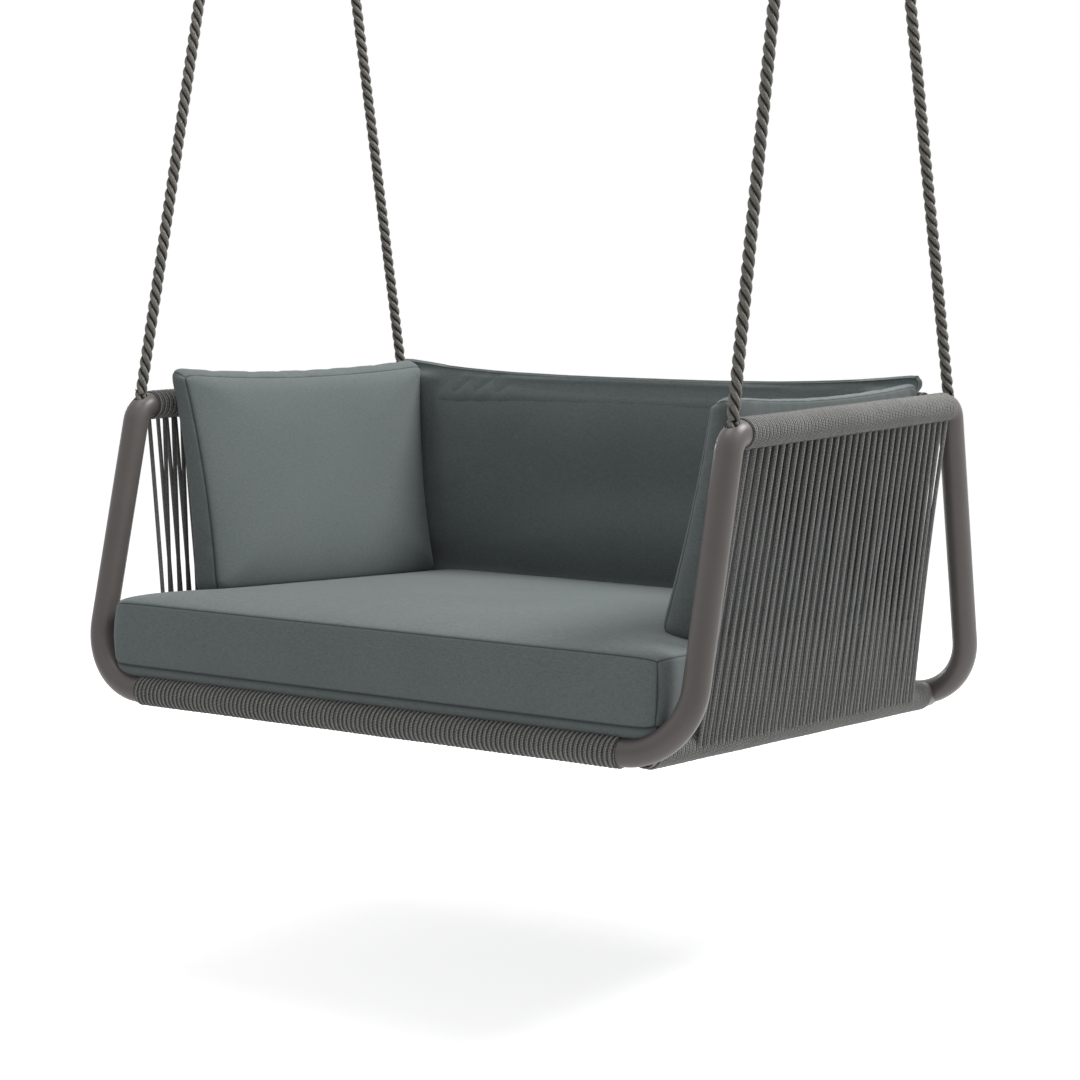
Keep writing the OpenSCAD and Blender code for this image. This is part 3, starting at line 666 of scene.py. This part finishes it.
# How far the first cords' tops stand behind that start and their feet before it, and the feet's pitch
TOP_BACK, FOOT_FORWARD, FOOT_PITCH = 3.0, 30.0, CORD_PITCH + 1.6
FOOT_ANGLE = math.radians(50)
# The last cords at the rear hang looser, and the inner ones are painted darker as shade
LOOSE_CORDS, LOOSE, INNER_PAINTED_SHADE = 5, 2.2, 0.42
# How far the ends run on past the rails' tangent points, into the windings
TOP_ENDS, FOOT_ENDS = (2.0, 4.5, 7.0), (4.0, 8.0, 12.0, 16.0)


def side_panel(side):
    """Two layers of cords from an arm down to the side rail below it."""
    b = Build()
    count = int((BACK_RAIL_Y - WRAP_R - CORD_D - PANEL_START) // CORD_PITCH)
    ring = CORD_OFF + 0.1
    for k in range(count + ROWS_MORE):
        for outer in (False, True):
            if k == count + ROWS_MORE - 1 and not outer:
                continue
            loose = LOOSE if k > count - LOOSE_CORDS else 1.0
            y_top = PANEL_START + TOP_BACK + (k if outer else k + 1) * CORD_PITCH
            y_foot = PANEL_START - FOOT_FORWARD + k * FOOT_PITCH + (0 if outer else CORD_PITCH / 2)
            shift = TOP_SPREAD if outer else -TOP_SPREAD
            top = np.array([HALF_W + shift, ARM_Z - math.sqrt(ring * ring - shift * shift)])
            foot_c = np.array([SIDE_RAIL_X, side_rail_z(y_foot)])
            run = top - foot_c
            turn = math.atan2(run[1], run[0]) - math.acos(ring / np.linalg.norm(run))
            turn = 0.4 * turn + 0.6 * FOOT_ANGLE
            foot = foot_c + np.array([math.cos(turn), math.sin(turn)]) * ring
            upper = [top + unit(top - foot) * d for d in TOP_ENDS]
            lower = [foot + unit(foot - top) * d for d in FOOT_ENDS]
            y_mid = rng.normal(0, 0.9) * loose
            bow = rng.normal(0, 0.7) * loose
            straight = []
            for f in np.linspace(0, 1, 9):
                q = foot + (top - foot) * f
                swell = math.sin(math.pi * f)
                straight.append([q[0] + bow * swell, y_foot + (y_top - y_foot) * f + y_mid * swell, q[1]])
            lo = [[q[0], y_foot + 0.8 * (i + 1) / len(lower), q[1]] for i, q in enumerate(lower)]
            hi = [[q[0], y_top, q[1]] for q in upper]
            pts = np.array(lo[::-1] + straight + hi)
            pts[:, 0] *= side
            # The inner layer gets even painted shade, the outer layer none
            b.tube(pts, CORD_D / 2 * (1 + rng.normal(0, 0.015)), 12, tone=1.0 if outer else INNER_PAINTED_SHADE)
    name = "right" if side > 0 else "left"
    obj = b.object("side_cords_" + name)
    dress(obj, CORD, "bed", "wicker_cord", "cord_panel_" + name)


side_panel(1)
side_panel(-1)

DECK_HALF = int((BOTTOM_WRAP - CORD_D) // CORD_PITCH)


def deck():
    """Cords under the seat cushion, from the front rail to the rear one."""
    b = Build()
    front = [[26.0, CORD_OFF - 1.2], [18.0, CORD_OFF - 4.0], [11.0, CORD_OFF - 8.5]]
    rear = dive((RAIL_LEN, 0.0), (RAIL_LEN, CORD_OFF), -1, 0.9)
    mid = [[r, CORD_OFF] for r in np.linspace(38, RAIL_LEN, 9)]
    for k in range(-DECK_HALF, DECK_HALF + 1):
        x = k * CORD_PITCH
        pts = [seat_point(x + rng.normal(0, 0.3), r, h) for r, h in front[::-1] + mid + rear]
        b.tube(np.array(pts), CORD_D / 2, 10)
    dress(b.object("deck_cords"), CORD, "bed", "wicker_cord", "cord_deck")


def back_panel():
    """Cords from the back rail down to the rear one."""
    b = Build()
    run = np.array([REAR_Y - BACK_RAIL_Y, ARM_Z - REAR_Z])
    out = np.array([-run[1], -run[0]]) / np.linalg.norm(run) * (CORD_OFF + 0.1)
    top_c, foot_c = np.array([BACK_RAIL_Y, ARM_Z]), np.array([REAR_Y, REAR_Z])
    top, foot = top_c + out, foot_c + out
    upper = dive(top_c, top, -1, 0.8)
    lower = dive(foot_c, foot, 1, 0.9)
    for k in range(-DECK_HALF, DECK_HALF):
        x = (k + 0.5) * CORD_PITCH
        jit, bow = rng.normal(0, 0.8), abs(rng.normal(0, 0.6))
        pts = [[x, *q] for q in lower[::-1]]
        for f in np.linspace(0, 1, 9):
            swell = math.sin(math.pi * f)
            pts.append([x + jit * swell, *(foot + (top - foot) * f + np.array([bow, 0]) * swell)])
        pts += [[x, *q] for q in upper]
        b.tube(np.array(pts), CORD_D / 2, 10)
    dress(b.object("back_cords"), CORD, "bed", "wicker_cord", "cord_panel_back")


deck()
back_panel()

# ---------------------------------------------------------------- cushions


def steps(length, fine=(3.0, 7.0, 13.0, 22.0), coarse=13.0):
    """Shares from -1 to 1 along an edge of this length, closer together at its ends."""
    n = max(2, int(round((length - 2 * fine[-1]) / coarse)))
    mid = np.linspace(fine[-1], length - fine[-1], n + 1)
    d = np.concatenate([[0], fine[:-1], mid, [length - f for f in fine[:-1][::-1]], [length]])
    return d / length * 2 - 1


# A point whose coordinate from -1 to 1 passes this lies on the edge
AT_EDGE = 0.9999
FOOT_SEAM_LIFT = 11.0


def box_grid(us, vs, ws):
    """Box topology: (u, v, w) of every point, its faces, and masks of the seams and corner seams."""
    nu, nv, nw = len(us), len(vs), len(ws)
    pts, index = [], {}

    def idx(i, j, k):
        key = (i, j, k)
        if key not in index:
            index[key] = len(pts)
            pts.append((us[i], vs[j], ws[k]))
        return index[key]

    faces = []
    for k, flip in ((nw - 1, False), (0, True)):
        for i in range(nu - 1):
            for j in range(nv - 1):
                q = [idx(i, j, k), idx(i + 1, j, k), idx(i + 1, j + 1, k), idx(i, j + 1, k)]
                faces.append(q[::-1] if flip else q)
    ring = [(i, 0) for i in range(nu)] + [(nu - 1, j) for j in range(1, nv)]
    ring += [(i, nv - 1) for i in range(nu - 2, -1, -1)] + [(0, j) for j in range(nv - 2, 0, -1)]
    for n, (i, j) in enumerate(ring):
        i2, j2 = ring[(n + 1) % len(ring)]
        for k in range(nw - 1):
            faces.append([idx(i, j, k), idx(i2, j2, k), idx(i2, j2, k + 1), idx(i, j, k + 1)])
    p = np.array(pts)
    at_u, at_v, at_w = (abs(p) > AT_EDGE).T
    return p, faces, (at_u | at_v) & at_w, at_u & at_v


def round_outline(x, y, a, b, r):
    """Moves points of a scaled rectangle so that its corners are round, by radius r."""
    share = np.maximum(np.maximum(abs(x) / a, abs(y) / b), 1e-6)
    ex, ey = abs(x) / share, abs(y) / share
    qx, qy = ex - (a - r), ey - (b - r)
    m = (qx > 0) & (qy > 0)
    d = np.hypot(qx, qy)
    k = np.where(m, r / np.where(d > 0, d, 1), 1)
    ex = np.where(m, a - r + qx * k, ex)
    ey = np.where(m, b - r + qy * k, ey)
    return np.sign(x) * ex * share, np.sign(y) * ey * share


def crown_h(share):
    """Height of a crowned panel as a share of its crown, from 1 at the middle to 0 at the edge."""
    return np.clip(1 - np.clip(share, 0, 1) ** 4.5, 0, 1) ** 0.62


def box_cushion(p, a, b, t, crown, low, pinch, r, gusset, fall=(0.0, 0.0), taper=0.0, foot_sag=None):
    """Points of a box cushion in its own frame: 2a by 2b, t thick, crowned by crown above and low
    below, its sides drawn in by pinch, its corners rounded by r and its gusset swelling by gusset.
    foot_sag gives the lower panel a flat sag and one along its edge, and lifts its seam."""
    u, v, w = p.T
    share = np.maximum(abs(u), abs(v))
    x, y = round_outline(u * a, v * b, a, b, r)
    eu, ev = u / np.maximum(share, 1e-6), v / np.maximum(share, 1e-6)
    x -= np.sign(u) * pinch * (1 - ev ** 2) * abs(u) * (abs(eu) > 0.999)
    y -= pinch * (1 - eu ** 2) * np.clip(v, 0, 1) * (ev > 0.999)
    bulge = np.where(share > AT_EDGE, gusset * (1 - w ** 2), 0)
    x += np.where(abs(eu) > 0.999, np.sign(u) * bulge, 0)
    y += np.where(abs(ev) > 0.999, np.sign(v) * bulge, 0)
    top = t / 2 + crown * crown_h(share)
    seam_z = -t / 2
    if foot_sag:
        d = np.minimum((1 - abs(u)) * a, (1 - abs(v)) * b)
        bottom = -t / 2 - (foot_sag[0] + foot_sag[1] * np.exp(-d / 60)) * (1 - np.exp(-d / 6))
        bottom += FOOT_SEAM_LIFT * np.exp(-d / 4)
        seam_z += FOOT_SEAM_LIFT
    else:
        bottom = -t / 2 - low * crown_h(share)
    z = np.where(w > AT_EDGE, top, np.where(w < -AT_EDGE, bottom, seam_z + (t / 2 - seam_z) * (w + 1) / 2))
    z = z * (1 - 0.10 * (abs(u) * abs(v)) ** 30)
    y = y - (x / a) * (fall[0] * (b - y) + fall[1] * (b + y)) / (2 * b)
    z = z * (1 - taper * y / b)
    return np.stack([x, y, z], 1)


def of_points(mesh, what):
    """Each point's place ("co") or normal."""
    n = np.empty(len(mesh.vertices) * 3)
    mesh.vertices.foreach_get(what, n)
    return n.reshape(-1, 3)


FRAMES = 20


def simulate(obj, held, pressure, shrink, cap):
    """Blows the cushion up with its held points fixed, and keeps the result on the mesh. Where the
    largest movements pass cap, in metres, all of them are scaled down alike."""
    group = obj.vertex_groups.new(name="held")
    group.add(np.nonzero(held)[0].tolist(), 1.0, "REPLACE")
    mod = obj.modifiers.new("cloth", "CLOTH")
    st = mod.settings
    st.quality = 5
    st.mass = 0.25
    st.tension_stiffness = 12
    st.compression_stiffness = 12
    st.shear_stiffness = 5
    st.bending_stiffness = 0.6
    st.use_pressure = True
    st.uniform_pressure_force = pressure
    st.effector_weights.gravity = 0
    st.vertex_group_mass = "held"
    st.shrink_min = shrink
    st.shrink_max = shrink
    mod.collision_settings.use_self_collision = False
    mod.point_cache.frame_start = 1
    mod.point_cache.frame_end = FRAMES
    for f in range(1, FRAMES + 1):
        scene.frame_set(f)
    new = of_points(obj.evaluated_get(bpy.context.evaluated_depsgraph_get()).data, "co")
    obj.modifiers.remove(mod)
    obj.vertex_groups.clear()
    old = of_points(obj.data, "co")
    size = np.linalg.norm(new - old, axis=1)
    keep = min(1.0, cap / max(float(np.percentile(size, 98)), 1e-9))
    obj.data.vertices.foreach_set("co", (old + (new - old) * keep).ravel())
    obj.data.update()
    scene.frame_set(1)


def creases(co, normal, lines):
    """Presses soft folds into the surface. Each line is (start, end, width, depth), in mm. Distances
    along y count by a third, so that a line needn't lie on the surface."""
    push = np.zeros(len(co))
    for a, b, width, depth in lines:
        a, b = np.asarray(a, float), np.asarray(b, float)
        ab = b - a
        f = np.clip(((co - a) @ ab) / (ab @ ab), 0, 1)
        d = np.linalg.norm((co - (a + f[:, None] * ab)) * [1.0, 0.3, 1.0], axis=1)
        fade = np.sin(np.clip(f, 0.02, 0.98) * math.pi) ** 0.5
        g = d / width
        push += depth * fade * (np.exp(-g * g) - 0.45 * np.exp(-((g - 1.7) ** 2) * 2))
    return co - normal * push[:, None]


SEAM_DEPTH = 1.9


def make_cushion(name, grid, co, node_name, pressure, shrink, cap, folds=()):
    """A cushion from the points co of a box grid: blown up, sewn, folded and dressed."""
    p, faces, seam, corner = grid
    obj = new_mesh(name, co, faces)
    simulate(obj, seam | (p[:, 2] < -AT_EDGE), pressure, shrink, cap)
    now, nrm = of_points(obj.data, "co") / MM, of_points(obj.data, "normal")
    # Sewn seams lie a little in, and pucker along their length
    line = seam | corner
    pucker = 1.0 + 0.45 * np.sin(now[:, 0] / 5.1 + now[:, 1] / 4.3 + now[:, 2] / 4.7)
    now = now - nrm * np.where(line, SEAM_DEPTH * pucker, 0)[:, None]
    now = creases(now, nrm, folds)
    obj.data.vertices.foreach_set("co", (now * MM).ravel())
    attr = obj.data.attributes.new("seam", "FLOAT", "POINT")
    attr.data.foreach_set("value", line.astype(np.float32))
    obj.data.update()
    sub = obj.modifiers.new("subdivision", "SUBSURF")
    sub.levels = 1
    sub.render_levels = 1
    dress(obj, CLOTH, "bed", "cushion_cloth", node_name)


SEAT_W, SEAT_D, SEAT_T, SEAT_CROWN = 1192.0, 1060.0, 130.0, 31.0
SEAT_FOOT = WRAP_R + 0.6 + CORD_D
SEAT_FOOT_CROWN = 0.5
SEAT_MID = SEAT_D / 2 - 15.0
SEAT_TOP = SEAT_FOOT + SEAT_FOOT_CROWN + SEAT_T


# The seat's sides swell by this much in front of the side panels, where v is below SWELL_FROM
SEAT_SWELL, SWELL_FROM, SWELL_OVER = 29.0, -0.60, 0.22


def seat_cushion():
    grid = box_grid(steps(SEAT_W, coarse=15.0), steps(SEAT_D, coarse=15.0),
                    steps(SEAT_T, (3.0, 7.0, 14.0), 13.0))
    local = box_cushion(grid[0], SEAT_W / 2, SEAT_D / 2, SEAT_T, SEAT_CROWN, 0, 5, 34.0, 5.0,
                        foot_sag=(7.0, 11.0))
    swell = smooth(np.clip((SWELL_FROM - grid[0][:, 1]) / SWELL_OVER, 0, 1))
    local[:, 0] *= 1 + SEAT_SWELL / (SEAT_W / 2) * swell
    c, sn = math.cos(RAKE), math.sin(RAKE)
    rot = np.array([[1, 0, 0], [0, c, sn], [0, -sn, c]])
    co = (local + [0, SEAT_MID, SEAT_FOOT + SEAT_FOOT_CROWN + SEAT_T / 2]) @ rot.T + [0, FRONT_Y, FRONT_Z]
    make_cushion("seat_pad", grid, co, "seat_cushion", 1.2, -0.004, 0.007)


def seat_top_z(y, x=0.0):
    """Height of the seat cushion's top at y and x."""
    run = (y - FRONT_Y - SEAT_TOP * math.sin(RAKE)) / math.cos(RAKE)
    share = np.maximum(abs(run - SEAT_MID) / (SEAT_D / 2), abs(x) / (SEAT_W / 2))
    h = SEAT_TOP + SEAT_CROWN * crown_h(np.minimum(share, 1.0))
    return FRONT_Z - run * math.sin(RAKE) + h * math.cos(RAKE)


MOST_DROP = 40.0


def settle(co, v, sink):
    """Lowers a cushion's foot, v near -1, until it is pressed into the seat cushion by sink."""
    drop = co[:, 2] - (seat_top_z(co[:, 1], co[:, 0]) - sink)
    foot = v < -AT_EDGE
    reach = np.clip((-0.78 - v) / 0.22, 0, 1) ** 1.5
    at_foot = float(np.median(drop[foot]))
    co[:, 2] -= np.where(foot, np.clip(drop, 0, MOST_DROP), np.clip(at_foot, 0, MOST_DROP) * reach)
    return co


# Those with two values have one for the left, -1, and one for the right, 1
SIDE_H, SIDE_T, SIDE_CROWN = {-1: 466.0, 1: 457.0}, 46.0, 30.0
SIDE_LEAN = {-1: math.radians(8.8), 1: math.radians(11.6)}
SIDE_FOOT_X = {-1: 553.0, 1: 530.0}
SIDE_FRONT_Y = FRONT_Y + 200.0
BACK_FRONT_Y = ARM_DEPTH / 2 - 99.0
SIDE_HALF = (BACK_FRONT_Y - 0.5 - SIDE_FRONT_Y) / 2
SIDE_MID_Y = (BACK_FRONT_Y - 0.5 + SIDE_FRONT_Y) / 2
# How far a side cushion's foot starts below the seat, and its outer top seam lies below the crest
SIDE_SINK, OUTER_SEAM_DROP = 19.8, 15.0
# How far the upper rear corner of a side cushion leans in and reaches back, squeezing the back cushion
TUCK = {-1: (24.0, 38.0), 1: (0.0, 36.0)}


def tuck(u, v, side):
    """Shift of a side cushion's points toward its upper rear corner."""
    rear = smooth(np.clip((u + 0.1) / 1.1, 0, 1))
    high = np.clip((v + 1) / 2, 0, 1) ** 1.3
    lean, deep = TUCK[side]
    return -lean * rear * high, deep * rear * high


def side_cushion(side):
    height = SIDE_H[side]
    p, faces, seam, corner = box_grid(steps(2 * SIDE_HALF, coarse=13.0), steps(height, coarse=13.0),
                                      steps(SIDE_T, (3.0, 8.0), 10.0))
    u, v, w = p.T
    local = box_cushion(p, SIDE_HALF, height / 2, SIDE_T, 2.0, SIDE_CROWN, 15, 24.0, 8.0,
                        fall=(SIDE_HALF * math.tan(RAKE), 7.0), taper=0.26)
    local[:, 1] -= OUTER_SEAM_DROP * (1 - w) / 2 * np.clip((v - 0.8) / 0.2, 0, 1)
    co = local[:, [2, 0, 1]] + [0, 0, height / 2]
    c, sn = math.cos(SIDE_LEAN[side]), math.sin(SIDE_LEAN[side])
    co = np.stack([co[:, 0] * c + co[:, 2] * sn, co[:, 1], -co[:, 0] * sn + co[:, 2] * c], 1)
    co += [SIDE_FOOT_X[side], SIDE_MID_Y, float(seat_top_z(SIDE_MID_Y)) - SIDE_SINK]
    dx, dy = tuck(u, v, side)
    co[:, 0] += dx
    co[:, 1] += dy
    co = settle(co, v, 2.5)
    if side < 0:
        co[:, 0] *= -1
        faces = [f[::-1] for f in faces]
    name = "right" if side > 0 else "left"
    make_cushion("side_pad_" + name, (p, faces, seam, corner), co, "side_cushion_" + name,
                 2.2, -0.007, 0.018)


BACK_W, BACK_H, BACK_DROOP = 1270.0, 464.0, 26.0
BACK_INSET = 28.0
BACK_FOOT_Z = float(seat_top_z(BACK_FRONT_Y + BACK_INSET)) + 0.3
BACK_TOP_Z = BACK_FOOT_Z + BACK_H
SLOPE = (REAR_Y - BACK_RAIL_Y) / (ARM_Z - REAR_Z)


# Folds along the back cushion's top, from (x, drop below its lowest top) to the same, in mm
BACK_FOLDS = [(-338, 4, -368, 40), (-394, 2, -428, 40), (-446, 2, -482, 42)]
FOLD_WIDTH, FOLD_DEPTH = 12.0, 5.0
# How far the rear stands before the panel's cords and before them at the rail, and how far the ends
# reach behind the rail's middle above it
PANEL_GAP, RAIL_GAP, OVER_RAIL = 4.0, 8.0, 8.0


def back_rear(z):
    """Where the back cushion's rear stands at height z: along the panel, then round the rail."""
    def before_panel(height):
        return BACK_RAIL_Y + (ARM_Z - height) * SLOPE - CORD_OFF - CORD_D - PANEL_GAP

    before_rail = BACK_RAIL_Y - WRAP_R - CORD_D - RAIL_GAP
    zs = [BACK_FOOT_Z, ARM_Z - 60, ARM_Z - TUBE_R, ARM_Z + TUBE_R, ARM_Z + 50, BACK_TOP_Z]
    ys = [before_panel(BACK_FOOT_Z), before_panel(ARM_Z - 60), before_rail, before_rail,
          BACK_RAIL_Y - WRAP_R + 10, BACK_RAIL_Y - WRAP_R + 8]
    return np.interp(z, zs, ys)


def back_cushion():
    p, faces, seam, corner = box_grid(steps(BACK_W, coarse=14.0), steps(BACK_H, coarse=13.0),
                                      steps(70.0, (3.0, 9.0), 12.0))
    u, v, w = p.T
    x, y = round_outline(u, v, 1.0, 1.0, 0.045)
    fv = (y + 1) / 2
    top = BACK_TOP_Z - BACK_DROOP * (1 - abs(u) ** 3)
    z = BACK_FOOT_Z + (top - BACK_FOOT_Z) * fv
    front = BACK_FRONT_Y - 16 * (1 - u ** 4) * (1 - abs(y) ** 2.2) + BACK_INSET * abs(y) ** 4
    front = np.minimum(front + 14 * abs(u) ** 10, BACK_FRONT_Y + BACK_INSET)
    rear = back_rear(z)
    # The ends give way to the side cushions
    high = np.clip(fv, 0, 1)
    for side in (-1, 1):
        deep = BACK_FRONT_Y + 2.0 + tuck(np.ones(1), 2 * high - 1, side)[1]
        end = smooth(np.clip((side * u - 0.80) / 0.09, 0, 1))
        front = front + np.maximum(deep - front, 0) * end
        rear = np.where((end > 0) & (z > ARM_Z + 32), np.maximum(rear, BACK_RAIL_Y + OVER_RAIL), rear)
    # The front stays before the wound back rail
    front = np.minimum(front, BACK_RAIL_Y - WRAP_R - 9 + 45 * np.clip((z - ARM_Z - 30) / 22, 0, 1))
    # The cushion is thinner along its edges and at its ends
    rear = np.maximum(front + 6, rear - (rear - front) * 0.35 * abs(y) ** 8)
    rear = rear - (rear - front) * 0.12 * abs(u) ** 14
    f = (w + 1) / 2
    yy = np.where(w > AT_EDGE, front, np.where(w < -AT_EDGE, rear, rear + (front - rear) * f))
    xx = x * (BACK_W / 2 - 20 * (BACK_TOP_Z - z) / BACK_H)
    bulge = np.where(np.maximum(abs(u), abs(v)) > AT_EDGE, 5 * (1 - w ** 2), 0)
    z = z + np.where(v > AT_EDGE, bulge, 0)
    xx = xx + np.where(abs(u) > AT_EDGE, np.sign(u) * bulge * 0.6, 0)
    co = settle(np.stack([xx, yy, z], 1), v, 2.0)
    low_top = BACK_TOP_Z - BACK_DROOP
    folds = [((x0, BACK_FRONT_Y + 12, low_top - z0), (x1, BACK_FRONT_Y - 8, low_top - z1),
              FOLD_WIDTH, FOLD_DEPTH) for x0, z0, x1, z1 in BACK_FOLDS]
    make_cushion("back_pad", (p, [f[::-1] for f in faces], seam, corner), co, "back_cushion",
                 2.0, -0.006, 0.020, folds)


seat_cushion()
side_cushion(1)
side_cushion(-1)
back_cushion()

# ---------------------------------------------------------------- carried-over CAD nodes

PAINTED = ("front_frame", "rear_frame", "arm_rail", "side_rail", "back_rail")
OF_STEEL = ("eye_", "beam_", "shackle_", "pin_", "thimble_")

for name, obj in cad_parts.items():
    if name.startswith(PAINTED) and "wrap" not in name:
        mat = PAINT
    elif name.startswith(OF_STEEL):
        mat = STEEL
    else:
        continue
    obj.data.materials.clear()
    obj.data.materials.append(mat)

# ---------------------------------------------------------------- floor, light and world

def emission(nt, strength, kind="Emission"):
    n = nt.nodes.new("ShaderNode" + kind)
    set_inputs(n, Color=(1, 1, 1, 1), Strength=strength)
    return n.outputs[0]


def mix_shader(nt, fac, a, b):
    n = nt.nodes.new("ShaderNodeMixShader")
    for value, socket in zip((fac, a, b), n.inputs):
        link(nt, value, socket)
    return n.outputs[0]


FLOOR_HALF, FLOOR_Z, FLOOR_GLOW, WORLD_LIGHT = 30.0, -2.25, 0.66, 0.36

floor_mesh = bpy.data.meshes.new("floor")
corners = [(x * FLOOR_HALF, y * FLOOR_HALF, 0) for x, y in ((-1, -1), (1, -1), (1, 1), (-1, 1))]
floor_mesh.from_pydata(corners, [], [(0, 1, 2, 3)])
floor = bpy.data.objects.new("floor", floor_mesh)
floor.location = (0, 0, FLOOR_Z)
scene.collection.objects.link(floor)
fm, fnt, fsh = material("pale_floor")
set_inputs(fsh, Base_Color=(0.9, 0.9, 0.9, 1), Roughness=0.95, Specular_IOR_Level=0.1)
# It glows for the camera and in reflections, and still takes the shadow
rays = fnt.nodes.new("ShaderNodeLightPath")
seen = math_node(fnt, "MAXIMUM", rays.outputs["Is Camera Ray"], rays.outputs["Is Glossy Ray"])
add = fnt.nodes.new("ShaderNodeAddShader")
link(fnt, fsh.outputs[0], add.inputs[0])
link(fnt, mix_shader(fnt, seen, emission(fnt, 0.0), emission(fnt, FLOOR_GLOW)), add.inputs[1])
fout = [n for n in fnt.nodes if n.type == "OUTPUT_MATERIAL"][0]
link(fnt, add.outputs[0], fout.inputs[0])
floor_mesh.materials.append(fm)

world = bpy.data.worlds.new("studio")
scene.world = world
world.use_nodes = True
wnt = world.node_tree
wnt.nodes.clear()
wout = wnt.nodes.new("ShaderNodeOutputWorld")
rays = wnt.nodes.new("ShaderNodeLightPath")
mirrored = math_node(wnt, "MAXIMUM", rays.outputs["Is Glossy Ray"], rays.outputs["Is Transmission Ray"])
seen = math_node(wnt, "MAXIMUM", rays.outputs["Is Camera Ray"], mirrored)
plain, white = (emission(wnt, strength, "Background") for strength in (WORLD_LIGHT, 1.0))
link(wnt, mix_shader(wnt, seen, plain, white), wout.inputs[0])


def area_light(name, location, target, size, power):
    data = bpy.data.lights.new(name, "AREA")
    data.shape = "DISK"
    data.size = size
    data.energy = power
    obj = bpy.data.objects.new(name, data)
    obj.location = location
    way = Vector(target) - Vector(location)
    obj.rotation_euler = way.to_track_quat("-Z", "Y").to_euler()
    scene.collection.objects.link(obj)


area_light("key", (2.3, 1.7, 1.9), (0, 0, -1.5), 1.9, 170)
area_light("top", (-0.3, -0.4, 2.6), (0, 0, -1.4), 2.6, 55)
area_light("fill", (-2.4, -3.6, 1.6), (0, 0, -1.4), 3.0, 10)
area_light("streak", (-3.1, 1.7, -0.9), (0.6, -0.4, -1.4), 0.5, 14)

scene.view_settings.view_transform = "Standard"
